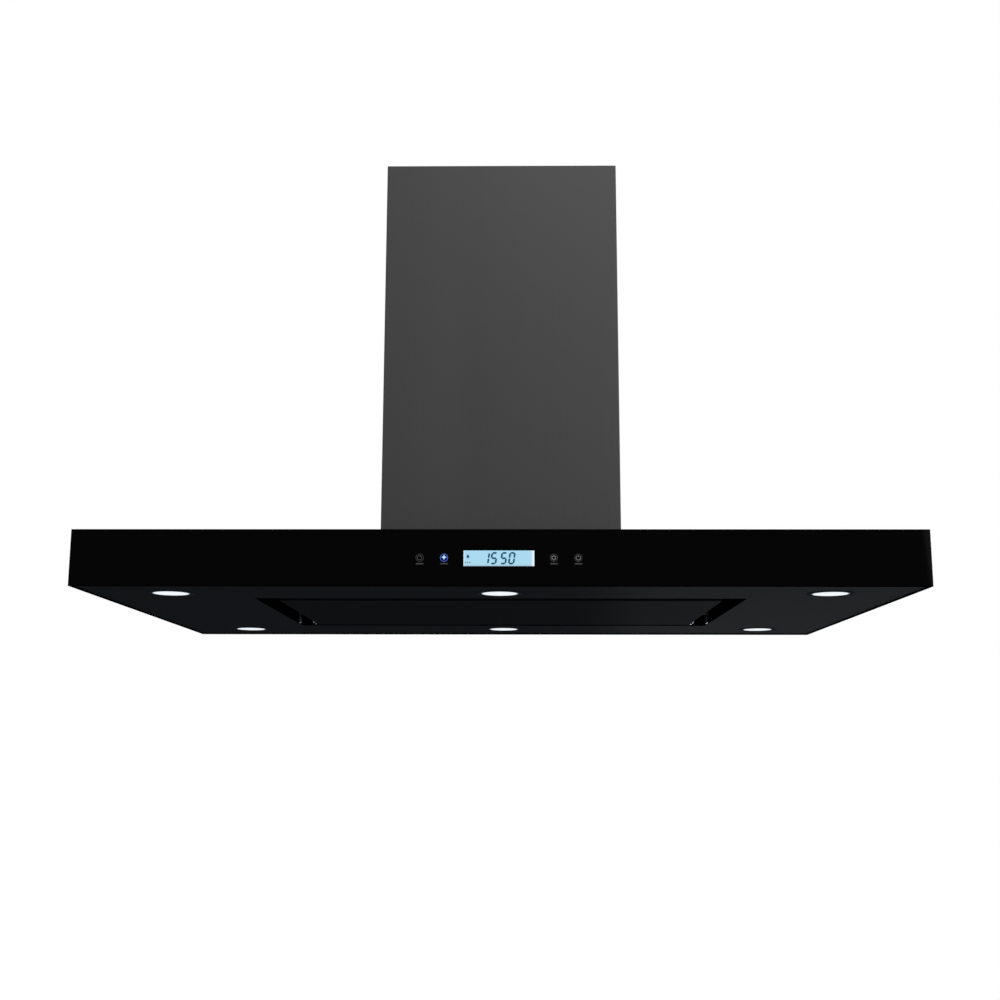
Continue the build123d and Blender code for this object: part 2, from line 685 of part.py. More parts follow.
def power_board():
    """Power board inside the control box."""
    inner = 2 * CONTROL_BOX_WALL + BOSS_RADIUS
    size = (CONTROL_BOX_WIDTH - inner, CONTROL_BOX_LENGTH - inner)
    return block(around(CONTROL_BOX_X, size[0]), around(0, size[1]), power_board_z())


def control_box_lid():
    """Lid under the control box."""
    z = (DECK_Z - CONTROL_BOX_HEIGHT - CONTROL_BOX_WALL, DECK_Z - CONTROL_BOX_HEIGHT)
    return block(around(CONTROL_BOX_X, CONTROL_BOX_WIDTH), around(0, CONTROL_BOX_LENGTH), z)


def mains_gland():
    """Gland in the canopy's top where the mains lead comes in."""
    low = DECK_Z - GLAND_NUT_HEIGHT
    high = CANOPY_TOP_Z + GLAND_HEIGHT
    gland = rod_z(GLAND_BODY, GLAND_X, GLAND_Y, (low, high))
    gland += rod_z(GLAND_HEAD, GLAND_X, GLAND_Y, (CANOPY_TOP_Z, high))
    gland += rod_z(GLAND_HEAD, GLAND_X, GLAND_Y, (low, DECK_Z))
    return gland - rod_z(GLAND_BORE, GLAND_X, GLAND_Y, (low - FIT, high + FIT))


# Perimeter panel


def perimeter_panel():
    """Flat suction panel with an upturned rim and holes for its two hinge pins."""
    panel = block((-PANEL_X, PANEL_X), (-PANEL_Y, PANEL_Y), (PANEL_Z, PANEL_Z + PANEL_RIM))
    panel = fillet(panel.edges().filter_by(Axis.Z), PANEL_CORNER)
    panel = fillet(panel.faces().sort_by(Axis.Z)[0].edges(), PANEL_EDGE_RADIUS)
    inner_x = PANEL_X - PANEL_SHEET
    inner_y = PANEL_Y - PANEL_SHEET
    inner_z = (PANEL_FLOOR_Z, PANEL_Z + PANEL_RIM + FIT)
    tray = block((-inner_x, inner_x), (-inner_y, inner_y), inner_z)
    tray = fillet(tray.edges().filter_by(Axis.Z), PANEL_INNER_CORNER)
    pin_hole = rod_x(PIN_RADIUS + PRESS, (-OPENING_WIDTH, OPENING_WIDTH), HINGE_Y, HINGE_Z)
    return panel - tray - pin_hole


def hinge_plate_x():
    """Levels along X of the right hinge bracket's upright plate."""
    return (PANEL_X + HINGE_SIDE_GAP, PANEL_X + HINGE_SIDE_GAP + BRACKET_SHEET)


def hinge_bracket():
    """Right hinge bracket: from the wall of the opening over and down to the pin."""
    x = hinge_plate_x()
    y = around(HINGE_Y, HINGE_PLATE_WIDTH)
    wall_x = OPENING_WIDTH / 2
    bracket = block(x, y, (HINGE_Z, ARM_TOP_Z))
    bracket += rod_x(HINGE_PLATE_WIDTH / 2, x, HINGE_Y, HINGE_Z)
    bracket -= block(x, y, (HINGE_Z - HINGE_PLATE_WIDTH, PANEL_Z))
    bracket += block((x[0], wall_x), y, (ARM_TOP_Z - BRACKET_SHEET, ARM_TOP_Z))
    bracket += block((wall_x - BRACKET_SHEET, wall_x), y, (FLOOR_Z, ARM_TOP_Z))
    return bracket - rod_x(PIN_RADIUS + RUNNING, (x[0] - FIT, x[1] + FIT), HINGE_Y, HINGE_Z)


def panel_pin():
    """Right hinge pin: pressed into the panel's rim, with its head outside the bracket."""
    rim_inside = PANEL_X - PANEL_SHEET
    head = hinge_plate_x()[1] + FIT
    pin = rod_x(PIN_RADIUS, (rim_inside, head), HINGE_Y, HINGE_Z)
    pin += rod_x(PIN_COLLAR, (rim_inside - PIN_COLLAR_LENGTH, rim_inside), HINGE_Y, HINGE_Z)
    return pin + rod_x(PIN_HEAD, (head, head + PIN_HEAD_LENGTH), HINGE_Y, HINGE_Z)


def catch_y():
    """Front and back of a catch magnet, behind the panel's front rim."""
    front = PANEL_SHEET + MAGNET_SETBACK - PANEL_Y
    return (front, front + MAGNET_DEPTH)


def magnet_z():
    """Levels of a catch magnet, just over its striker."""
    low = PANEL_FLOOR_Z + STRIKER + FIT
    return (low, low + MAGNET_HEIGHT)


def catch():
    """Right catch: a bracket on the front wall of the opening, and the magnet that it holds."""
    x = around(CATCH_X, CATCH_WIDTH)
    wall_y = -OPENING_DEPTH / 2
    y = catch_y()
    low, high = magnet_z()
    arm_z = (ARM_TOP_Z - BRACKET_SHEET, ARM_TOP_Z)
    bracket = block(x, (wall_y, y[1]), arm_z)
    bracket += block(x, (wall_y, wall_y + BRACKET_SHEET), (FLOOR_Z, ARM_TOP_Z))
    bracket += block(x, y, (high, arm_z[0]))
    return Compound(children=[bracket, block(x, y, (low, high))])


def panel_strikers():
    """Two steel plates on the panel's inside, under the magnets."""
    z = (PANEL_FLOOR_Z, PANEL_FLOOR_Z + STRIKER)
    striker = block(around(CATCH_X, CATCH_WIDTH), catch_y(), z)
    return Compound(children=[striker, mirrored(striker)])


# Grease filters


def latch_section(gap, y):
    """Stepped section of the latch between the pair y, with a gap all round it."""
    wide = around(FILTER_MIDDLE_X, LATCH_WIDTH + 2 * gap)
    stem = around(FILTER_MIDDLE_X, LATCH_STEM_WIDTH + 2 * gap)
    low = FILTER_Z + LATCH_LIP
    section = block(wide, y, (low - gap, FILTER_Z + LATCH_THICKNESS + gap))
    return section + block(stem, y, (FILTER_Z - gap, low))


def latch_tongue(gap):
    """Tongue that holds the filter up on the opening's hem, with a gap all round it."""
    x = around(FILTER_MIDDLE_X, TONGUE_WIDTH + 2 * gap)
    y = (-OPENING_DEPTH / 2 - TONGUE_SEAT, LATCH_FRONT_Y + LATCH_LENGTH / 2)
    return block(x, y, (FILTER_Z + FIT - gap, FILTER_Z + LATCH_THICKNESS + gap))


def filter_window():
    """Limits on X and Y of the hole in a filter's frame."""
    x = (FILTER_X[0] + FILTER_BORDER, FILTER_X[1] - FILTER_BORDER)
    y = (FILTER_Y[0] + FILTER_FRONT_BORDER, FILTER_Y[1] - FILTER_BORDER)
    return x, y


def filter_frame():
    """Right-hand filter's frame, with the slide for its latch."""
    x, y = filter_window()
    frame = block(FILTER_X, FILTER_Y, (FILTER_Z, FILTER_TOP_Z))
    frame -= block(x, y, (FILTER_Z - FIT, FILTER_TOP_Z + FIT))
    slide_y = (LATCH_FRONT_Y - FIT, LATCH_BACK_Y + LATCH_TRAVEL + FIT)
    return frame - latch_section(FIT, slide_y) - latch_tongue(FIT)


def filter_mesh():
    """Pack of aluminium mesh in the right-hand filter's frame."""
    x, y = filter_window()
    middle = (FILTER_Z + FILTER_TOP_Z) / 2
    return block(x, y, around(middle, MESH_THICKNESS))


def filter_latch():
    """Right-hand filter's latch: a slide with a tongue to the front and a finger grip below."""
    grip_y = around(LATCH_FRONT_Y + LATCH_LENGTH / 2, LATCH_GRIP)
    grip_z = (FILTER_Z - LATCH_GRIP_DROP, FILTER_Z + LATCH_LIP)
    grip = block(around(FILTER_MIDDLE_X, TONGUE_WIDTH), grip_y, grip_z)
    return latch_section(0, (LATCH_FRONT_Y, LATCH_BACK_Y)) + latch_tongue(0) + grip


# Blower


def blower_screws():
    """Places of the four screws in the blower box's flanges."""
    return corners(BLOWER_SCREW_SPACING / 2, BOX_Y + BLOWER_SCREW_INSET)


def blower_box():
    """Sheet box over the volute, open below, with flanges at its front and back."""
    box = block((-BOX_X, BOX_X), (-BOX_Y, BOX_Y), (CANOPY_TOP_Z, BOX_TOP_Z))
    inner_x = BOX_X - BOX_SHEET
    inner_y = BOX_Y - BOX_SHEET
    box -= block((-inner_x, inner_x), (-inner_y, inner_y), (CANOPY_TOP_Z, BOX_TOP_Z - BOX_SHEET))
    flange_z = (CANOPY_TOP_Z, CANOPY_TOP_Z + BOX_SHEET)
    flange = block(around(0, BLOWER_FLANGE_LENGTH), (inner_y, BOX_Y + BLOWER_FLANGE), flange_z)
    box += flange + mirror(flange, about=Plane.XZ)
    for x, y in blower_screws():
        box -= screw_hole(x, y, flange_z)
    outlet_x = (BLOWER_X + TONGUE_X, BLOWER_X + VOLUTE_RIGHT)
    outlet_y = around(0, 2 * (VOLUTE_HALF - VOLUTE_WALL))
    return box - block(outlet_x, outlet_y, (BOX_TOP_Z - BOX_SHEET, BOX_TOP_Z))


def volute_outline(top):
    """Spiral of four arcs round the impeller, with its outlet straight up to the level top."""
    s = VOLUTE_STEP
    r = VOLUTE_START
    spiral = CenterArc((-s, s), r, TONGUE_ANGLE, 90 - TONGUE_ANGLE)
    spiral += CenterArc((-s, -s), r + 2 * s, 90, 90)
    spiral += CenterArc((s, -s), r + 4 * s, 180, 90)
    spiral += CenterArc((s, s), r + 6 * s, 270, 90)
    tongue = (TONGUE_X, s + r * sin(radians(TONGUE_ANGLE)))
    outlet = Polyline((VOLUTE_RIGHT, s), (VOLUTE_RIGHT, top), (TONGUE_X, top), tongue)
    return make_face(spiral + outlet)


def across_y(face, y):
    """Face drawn as (X, Z) round the impeller's axis, drawn out between the pair y."""
    return Pos(BLOWER_X, y[1], BLOWER_Z) * Rot(90, 0, 0) * extrude(face, y[1] - y[0])


def volute_half():
    """Front half of the volute, with a round air inlet in its side."""
    top = BOX_TOP_Z - BOX_SHEET - BLOWER_Z
    outer = offset(volute_outline(top - VOLUTE_WALL), VOLUTE_WALL)
    half = across_y(outer, (-VOLUTE_HALF, 0))
    half -= across_y(volute_outline(top + VOLUTE_WALL), (VOLUTE_WALL - VOLUTE_HALF, FIT))
    return half - rod_y(INLET_RADIUS, BLOWER_X, (-VOLUTE_HALF - FIT, 0), BLOWER_Z)


def volute_rear():
    """Rear half of the volute, the front half's mirror image."""
    return mirror(volute_half(), about=Plane.XZ)


def impeller():
    """Double-inlet wheel: two rims, a middle disc with its hub, and curved blades."""
    inner = IMPELLER_RADIUS - BLADE_DEPTH
    ring = Circle(IMPELLER_RADIUS) - Circle(inner)
    wide = IMPELLER_HALF_WIDTH
    middle = (inner + IMPELLER_RADIUS) / 2
    centre = (middle, -BLADE_CURVE_RADIUS)
    bow = CenterArc(centre, BLADE_CURVE_RADIUS, BLADE_ARC_START, BLADE_ARC)
    blades = PolarLocations(0, BLADE_COUNT) * SlotArc(bow, BLADE_THICKNESS)
    wheel = across_y(Sketch() + blades, (-wide, wide))
    for y in ((-wide, RIM_THICKNESS - wide), (wide - RIM_THICKNESS, wide), around(0, HUB_DISC)):
        wheel += across_y(ring, y)
    wheel += across_y(Circle(inner), around(0, HUB_DISC))
    wheel += rod_y(HUB_RADIUS, BLOWER_X, (HUB_DISC / 2 - HUB_LENGTH, HUB_DISC / 2), BLOWER_Z)
    return wheel - rod_y(SHAFT_RADIUS + PRESS, BLOWER_X, (-wide, wide), BLOWER_Z)


def motor_y():
    """Front and back of the motor, behind the wheel's middle disc."""
    front = HUB_DISC / 2 + MOTOR_GAP
    return (front, front + MOTOR_LENGTH)


def motor_shaft():
    """Shaft that carries the wheel and runs in the motor."""
    y = (HUB_DISC / 2 - HUB_LENGTH - SHAFT_END, motor_y()[1] - SHAFT_END)
    return rod_y(SHAFT_RADIUS, BLOWER_X, y, BLOWER_Z)


def motor():
    """Motor with a flange behind its bracket and a running bore for the shaft."""
    y = motor_y()
    flange_y = VOLUTE_HALF + BRACKET_SHEET
    body = rod_y(MOTOR_RADIUS, BLOWER_X, y, BLOWER_Z)
    body += rod_y(MOTOR_FLANGE, BLOWER_X, (flange_y, flange_y + MOTOR_FLANGE_THICKNESS), BLOWER_Z)
    bore = (y[0] - FIT, y[1] - SHAFT_END + FIT)
    return body - rod_y(SHAFT_RADIUS + RUNNING, BLOWER_X, bore, BLOWER_Z)


def motor_bracket():
    """Ring with arms that rests on the volute's rear side and holds the motor."""
    reach = INLET_RADIUS + ARM_SEAT
    arm = Pos(reach / 2, 0) * Rectangle(reach, ARM_WIDTH)
    star = Circle(MOTOR_FLANGE) + PolarLocations(0, ARM_COUNT) * arm
    return across_y(star - Circle(MOTOR_RADIUS + FIT), (VOLUTE_HALF, VOLUTE_HALF + BRACKET_SHEET))


def duct_collar():
    """Round spigot for the duct, with a ledge that the closed flaps lie on."""
    z = (BOX_TOP_Z, BOX_TOP_Z + COLLAR_HEIGHT)
    collar = rod_z(COLLAR_RADIUS, DUCT_X, 0, z)
    collar += rod_z(COLLAR_RADIUS + COLLAR_FLANGE, DUCT_X, 0, (BOX_TOP_Z, BOX_TOP_Z + COLLAR_WALL))
    collar -= rod_z(COLLAR_BORE, DUCT_X, 0, z)
    ledge_top = FLAP_Z - FLAP_SHEET / 2 - FIT
    ledge_z = (ledge_top - LEDGE_SHEET, ledge_top)
    ledge = rod_z(COLLAR_BORE + FIT, DUCT_X, 0, ledge_z)
    collar += ledge - rod_z(COLLAR_BORE - LEDGE_WIDTH, DUCT_X, 0, ledge_z)
    return collar - rod_y(ROD_RADIUS + PRESS, DUCT_X, (-COLLAR_RADIUS, COLLAR_RADIUS), FLAP_Z)


def damper_rod():
    """Rod across the collar that both flaps hang on."""
    half = COLLAR_RADIUS - FIT
    return rod_y(ROD_RADIUS, DUCT_X, (-half, half), FLAP_Z)


def damper_flap(side, barrel_y):
    """Half-round flap on one side of the rod, with two barrels round it."""
    z = around(FLAP_Z, FLAP_SHEET)
    edge = DUCT_X + side * FLAP_AXIS_GAP
    disc = rod_z(COLLAR_BORE - FLAP_EDGE_GAP, DUCT_X, 0, z)
    across = sorted((edge, edge + side * COLLAR_RADIUS))
    flap = disc & block(across, (-COLLAR_RADIUS, COLLAR_RADIUS), z)
    for middle in (-barrel_y, barrel_y):
        y = around(middle, BARREL_LENGTH)
        flap += block(sorted((DUCT_X, edge + side * FIT)), y, z)
        flap += rod_y(BARREL_RADIUS, DUCT_X, y, FLAP_Z)
    return flap - rod_y(ROD_RADIUS + RUNNING, DUCT_X, (-COLLAR_RADIUS, COLLAR_RADIUS), FLAP_Z)


def all_nodes():
    """Every piece of the hood under its own name."""
    upper_front, upper_rear = upper_covers()
    lower_front, lower_rear = lower_covers()
    nodes = {
        "ceiling_plate": ceiling_plate(),
        "upper_uprights": upper_uprights(),
        "upper_cover_front": upper_front,
        "upper_cover_rear": upper_rear,
        "ceiling_screws": ceiling_screws(),
        "lower_uprights": lower_uprights(),
        "clamp_bolts": clamp_bolts(),
        "lower_cover_front": lower_front,
        "lower_cover_rear": lower_rear,
        "canopy_shell": canopy_shell(),
        "canopy_screws": canopy_screws(),
        "front_glass": front_glass(),
        "display_window": display_window(),
        "lcd_module": lcd_module(),
        "touch_board": touch_board(),
        "touch_pads": touch_pads(),
        "control_carrier": control_carrier(),
        "underside_panel": underside_panel(),
        "control_box": control_box(),
        "control_box_lid": control_box_lid(),
        "power_board": power_board(),
        "mains_gland": mains_gland(),
        "blower_box": blower_box(),
        "volute_front": volute_half(),
        "volute_rear": volute_rear(),
        "impeller": impeller(),
        "motor_shaft": motor_shaft(),
        "motor": motor(),
        "motor_bracket": motor_bracket(),
        "duct_collar": duct_collar(),
        "damper_rod": damper_rod(),
        "damper_flap_left": damper_flap(-1, LEFT_BARREL_Y),
        "damper_flap_right": damper_flap(1, RIGHT_BARREL_Y),
        "perimeter_panel": perimeter_panel(),
        "panel_strikers": panel_strikers(),
    }
    for name, (x, y) in LAMP_PLACES.items():
        nodes[f"lamp_housing_{name}"] = lamp_housing(x, y)
        nodes[f"lamp_lens_{name}"] = lamp_lens(x, y)
    paired = {
        "hinge_bracket": hinge_bracket(),
        "panel_pin": panel_pin(),
        "catch": catch(),
        "filter_frame": filter_frame(),
        "filter_mesh": filter_mesh(),
        "filter_latch": filter_latch(),
    }
    for name, right in paired.items():
        nodes[f"{name}_right"] = right
        nodes[f"{name}_left"] = mirrored(right)
    return nodes


os.makedirs("parts", exist_ok=True)
for node_name, node_shape in all_nodes().items():
    export_step(node_shape, f"parts/{node_name}.step")
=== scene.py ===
"""Island range hood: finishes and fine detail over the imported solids, in a plain studio."""

import logging
from collections.abc import Callable, Iterator
from contextlib import contextmanager
from dataclasses import dataclass, field, replace
from enum import Enum
from functools import cache
from math import atan2, cos, pi, radians, sin, tan

import bpy
from mathutils import Matrix, Vector


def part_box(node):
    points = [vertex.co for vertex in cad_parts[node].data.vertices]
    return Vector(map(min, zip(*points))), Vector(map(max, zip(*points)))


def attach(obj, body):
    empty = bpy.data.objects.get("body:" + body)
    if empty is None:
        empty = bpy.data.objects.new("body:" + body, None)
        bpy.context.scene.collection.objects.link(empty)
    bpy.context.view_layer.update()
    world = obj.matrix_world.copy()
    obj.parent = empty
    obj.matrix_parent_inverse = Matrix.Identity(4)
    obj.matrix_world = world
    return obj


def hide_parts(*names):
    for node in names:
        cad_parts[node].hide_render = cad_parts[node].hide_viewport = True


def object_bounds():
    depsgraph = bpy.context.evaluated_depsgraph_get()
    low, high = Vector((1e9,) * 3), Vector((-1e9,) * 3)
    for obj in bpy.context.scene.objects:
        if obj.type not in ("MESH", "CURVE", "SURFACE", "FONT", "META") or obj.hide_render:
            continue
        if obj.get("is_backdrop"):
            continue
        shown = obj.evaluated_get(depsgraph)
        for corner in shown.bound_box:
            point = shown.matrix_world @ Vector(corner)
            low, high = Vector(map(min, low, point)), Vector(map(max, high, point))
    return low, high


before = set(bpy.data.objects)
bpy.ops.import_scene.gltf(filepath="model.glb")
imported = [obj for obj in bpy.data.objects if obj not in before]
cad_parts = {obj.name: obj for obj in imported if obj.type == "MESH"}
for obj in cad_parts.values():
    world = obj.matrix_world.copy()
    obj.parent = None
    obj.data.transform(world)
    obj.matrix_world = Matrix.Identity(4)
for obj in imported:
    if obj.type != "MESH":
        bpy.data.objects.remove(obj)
CAD_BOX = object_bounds()

LOG = logging.getLogger("hood")
Colour = tuple[float, float, float]
Place = tuple[float, float, float]
FACE_FRONT = (pi / 2, 0.0, 0.0)
SIDES = ("left", "right")
# Least part of its normal along a direction, for a face that counts as turned that way
FACING = 0.9
UNDERSIDE_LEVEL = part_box("underside_panel")[0].z
GLASS_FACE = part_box("front_glass")[0].y
# Height of the rim at the foot of the canopy's walls, which is painted near black as painted shade
RIM_HEIGHT = 0.0006


# Shader building


@dataclass
class Graph:
    """A node tree with short calls that add and wire its nodes."""

    tree: bpy.types.NodeTree

    def add(self, kind: str, inputs: dict | None = None, **settings: object) -> bpy.types.Node:
        """Adds one node.

        Args:
            kind: Type of the node, without its common prefix.
            inputs: Values or sockets by the input's name or number.
            **settings: Properties of the node.

        Returns:
            The new node.
        """
        node = self.tree.nodes.new(f"ShaderNode{kind}")
        for name, value in settings.items():
            setattr(node, name, value)
        for key, value in (inputs or {}).items():
            if isinstance(value, bpy.types.NodeSocket):
                self.tree.links.new(value, node.inputs[key])
            else:
                node.inputs[key].default_value = value
        return node

    def math(self, operation: str, first: object, second: object = 0.0) -> bpy.types.NodeSocket:
        """Result of one sum on two values or sockets."""
        return self.add("Math", {0: first, 1: second}, operation=operation).outputs[0]

    def step(self, value: object, low: float, high: float) -> bpy.types.NodeSocket:
        """Smooth rise from 0 at the low value to 1 at the high one."""
        inputs = {0: value, 1: low, 2: high, 3: 0.0, 4: 1.0}
        return self.add("MapRange", inputs, interpolation_type="SMOOTHSTEP").outputs[0]

    def noise(self, vector: object, scale: object, detail: float = 2.0) -> bpy.types.NodeSocket:
        """Even noise from 0 to 1 over a vector."""
        return self.add("TexNoise", {"Vector": vector, "Scale": scale, "Detail": detail}).outputs[0]

    def stretch(self, vector: object, by: Place) -> bpy.types.NodeSocket:
        """A vector multiplied on each axis."""
        return self.add("VectorMath", {0: vector, 1: by}, operation="MULTIPLY").outputs[0]

    def blend(self, first: object, second: object, share: object) -> bpy.types.NodeSocket:
        """Mix of two values, with the share of the second one."""
        return self.add("Mix", {0: share, 2: first, 3: second}, data_type="FLOAT").outputs[0]

    def tint(self, first: object, second: object, share: object) -> bpy.types.NodeSocket:
        """Mix of two colours, with the share of the second one."""
        return self.add("Mix", {0: share, 6: first, 7: second}, data_type="RGBA").outputs[2]


class Effect(Enum):
    """Surface effects that the finishes share, by the name of the node group."""

    BRUSHED = "brushed_grain"
    SPRAYED = "sprayed_paint"
    SPANGLED = "zinc_spangle"
    SMEARED = "wiped_glass"
    MOULDED = "moulded_grain"


@dataclass(frozen=True)
class Layers:
    """Two layers of noise: a fine one at the finish's own scale, and a broad one that drifts."""

    stretch: Place = (1.0, 1.0, 1.0)
    detail: float = 3.0
    broad_stretch: Place = (1.0, 1.0, 1.0)
    broad_scale: float = 6.0
    broad_detail: float = 2.0
    broad_share: float = 0.5


EFFECT_LAYERS = {
    Effect.BRUSHED: Layers(
        stretch=(1.0, 1.0, 0.006),
        broad_stretch=(1.0, 1.0, 0.05),
        broad_scale=16.0,
        broad_detail=1.0,
        broad_share=0.35,
    ),
    Effect.SPRAYED: Layers(detail=1.0, broad_share=0.6),
    Effect.SMEARED: Layers(stretch=(0.5, 1.0, 3.0), broad_share=0.0),
    Effect.MOULDED: Layers(broad_scale=25.0),
}


class EffectGroups:
    """Node groups of the shared effects, all with the same sockets."""

    middle_tone: float = 0.5
    spangle_relief: float = 400.0
    inputs: tuple[tuple[str, str], ...] = (
        ("Vector", "NodeSocketVector"),
        ("Colour", "NodeSocketColor"),
        ("Contrast", "NodeSocketFloat"),
        ("Roughness", "NodeSocketFloat"),
        ("Spread", "NodeSocketFloat"),
        ("Fineness", "NodeSocketFloat"),
    )
    outputs: tuple[tuple[str, str], ...] = (
        ("Colour", "NodeSocketColor"),
        ("Roughness", "NodeSocketFloat"),
        ("Height", "NodeSocketFloat"),
    )

    @staticmethod
    def pattern(
        graph: Graph, effect: Effect, vector: bpy.types.NodeSocket, fineness: bpy.types.NodeSocket
    ) -> tuple[bpy.types.NodeSocket, bpy.types.NodeSocket]:
        """Wires the pattern of one effect.

        Args:
            graph: Node tree of the group.
            effect: Which pattern to draw.
            vector: Place on the surface.
            fineness: Size of the grain, in grains to a metre.

        Returns:
            The tone, which shades colour and roughness, and the height of the relief.
        """
        if effect is Effect.SPANGLED:
            cells = graph.add("TexVoronoi", {"Vector": vector, "Scale": fineness})
            tone = graph.add("SeparateColor", {0: cells.outputs["Color"]}).outputs[0]
            return tone, graph.noise(vector, EffectGroups.spangle_relief)
        layers = EFFECT_LAYERS[effect]
        fine = graph.noise(graph.stretch(vector, layers.stretch), fineness, layers.detail)
        drift = graph.stretch(vector, layers.broad_stretch)
        broad = graph.noise(drift, layers.broad_scale, layers.broad_detail)
        return graph.blend(fine, broad, layers.broad_share), fine

    @staticmethod
    @cache
    def get(effect: Effect) -> bpy.types.NodeTree:
        """Builds the node group of an effect, once.

        Args:
            effect: Which group.

        Returns:
            The node group.
        """
        tree = bpy.data.node_groups.new(effect.value, "ShaderNodeTree")
        for in_out, sockets in (("INPUT", EffectGroups.inputs), ("OUTPUT", EffectGroups.outputs)):
            for name, kind in sockets:
                tree.interface.new_socket(name=name, in_out=in_out, socket_type=kind)
        graph = Graph(tree)
        given = tree.nodes.new("NodeGroupInput").outputs
        result = tree.nodes.new("NodeGroupOutput").inputs
        tone, height = EffectGroups.pattern(graph, effect, given["Vector"], given["Fineness"])
        swing = graph.math("SUBTRACT", tone, EffectGroups.middle_tone)
        shade = graph.math("ADD", graph.math("MULTIPLY", swing, given["Contrast"]), 1.0)
        colour = graph.add("VectorMath", {0: given["Colour"], "Scale": shade}, operation="SCALE")
        rough = graph.math("ADD", graph.math("MULTIPLY", swing, given["Spread"]), given["Roughness"])
        for name, socket in (("Colour", colour.outputs[0]), ("Roughness", rough), ("Height", height)):
            tree.links.new(socket, result[name])
        return tree


# Finishes


def blank(name: str, inputs: dict) -> tuple[bpy.types.Material, Graph, bpy.types.Node]:
    """Starts a material.

    Args:
        name: Name of the material.
        inputs: Plain values of its Principled shader, by the input's name.

    Returns:
        The material, its node tree and its Principled shader.
    """
    material = bpy.data.materials.new(name)
    material.use_nodes = True
    material.node_tree.nodes.clear()
    graph = Graph(material.node_tree)
    shader = graph.add("BsdfPrincipled", inputs)
    graph.add("OutputMaterial", {"Surface": shader.outputs[0]})
    return material, graph, shader


@dataclass(frozen=True)
class Finish:
    """A solid surface: its colour, gloss and grain.

    Past dull_from on dull_axis it turns near black and dull within dull_edge: painted shade where the
    recess or edge gets no light; on glass, whose own colour is as dark, only the gloss dulls. A negative
    dull_edge turns the lower side dull instead.
    """

    name: str
    effect: Effect
    colour: Colour
    roughness: float
    contrast: float = 0.15
    spread: float = 0.1
    fineness: float = 900.0
    bump: float = 0.0
    bump_depth: float = 0.0003
    metallic: float = 0.0
    specular: float = 0.5
    coat: float = 0.0
    coat_roughness: float = 0.03
    dull_axis: int | None = None
    dull_from: float = 0.0
    dull_edge: float = 0.0002
    painted_shade_colour: Colour = (0.0004, 0.0004, 0.0005)
    dull_roughness: float = 0.9

    def build(self) -> bpy.types.Material:
        """Builds the material, with its dull stretch of painted shade if it has one.

        Returns:
            The material.
        """
        plain = {
            "Metallic": self.metallic,
            "Specular IOR Level": self.specular,
            "Coat Weight": self.coat,
            "Coat Roughness": self.coat_roughness,
        }
        material, graph, shader = blank(self.name, plain)
        place = graph.add("TexCoord").outputs["Object"]
        grain = {
            "Vector": place,
            "Colour": (*self.colour, 1.0),
            "Contrast": self.contrast,
            "Roughness": self.roughness,
            "Spread": self.spread,
            "Fineness": self.fineness,
        }
        surface = graph.add("Group", grain, node_tree=EffectGroups.get(self.effect)).outputs
        colour, rough = surface["Colour"], surface["Roughness"]
        if self.dull_axis is not None:
            along = graph.add("SeparateXYZ", {0: place}).outputs[self.dull_axis]
            # Inside the stretch the colour is painted shade and the gloss is dulled
            inside = graph.step(along, self.dull_from, self.dull_from + self.dull_edge)
            colour = graph.tint(colour, (*self.painted_shade_colour, 1.0), inside)
            rough = graph.blend(rough, self.dull_roughness, inside)
            graph.tree.links.new(graph.blend(self.coat, 0.0, inside), shader.inputs["Coat Weight"])
        graph.tree.links.new(colour, shader.inputs["Base Color"])
        graph.tree.links.new(rough, shader.inputs["Roughness"])
        if self.bump:
            relief = {"Strength": self.bump, "Distance": self.bump_depth, "Height": surface["Height"]}
            graph.tree.links.new(graph.add("Bump", relief).outputs[0], shader.inputs["Normal"])
        return material


@dataclass(frozen=True)
class LitFinish:
    """A surface that shines by itself, with a fine prism pattern in its light."""

    name: str
    light: Colour
    strength: float = 1.0
    base: Colour = (0.002, 0.002, 0.002)
    roughness: float = 0.3
    specular: float = 0.0
    cell: float = 500.0
    variation: float = 0.1

    def build(self) -> bpy.types.Material:
        """Builds the material.

        Returns:
            The material.
        """
        plain = {
            "Base Color": (*self.base, 1.0),
            "Roughness": self.roughness,
            "Specular IOR Level": self.specular,
            "Emission Strength": self.strength,
        }
        material, graph, shader = blank(self.name, plain)
        place = graph.add("TexCoord").outputs["Object"]
        cells = graph.add("TexVoronoi", {"Vector": place, "Scale": self.cell}).outputs["Distance"]
        dark = tuple(part * (1.0 - self.variation) for part in self.light)
        light = graph.tint((*self.light, 1.0), (*dark, 1.0), cells)
        graph.tree.links.new(light, shader.inputs["Emission Color"])
        return material


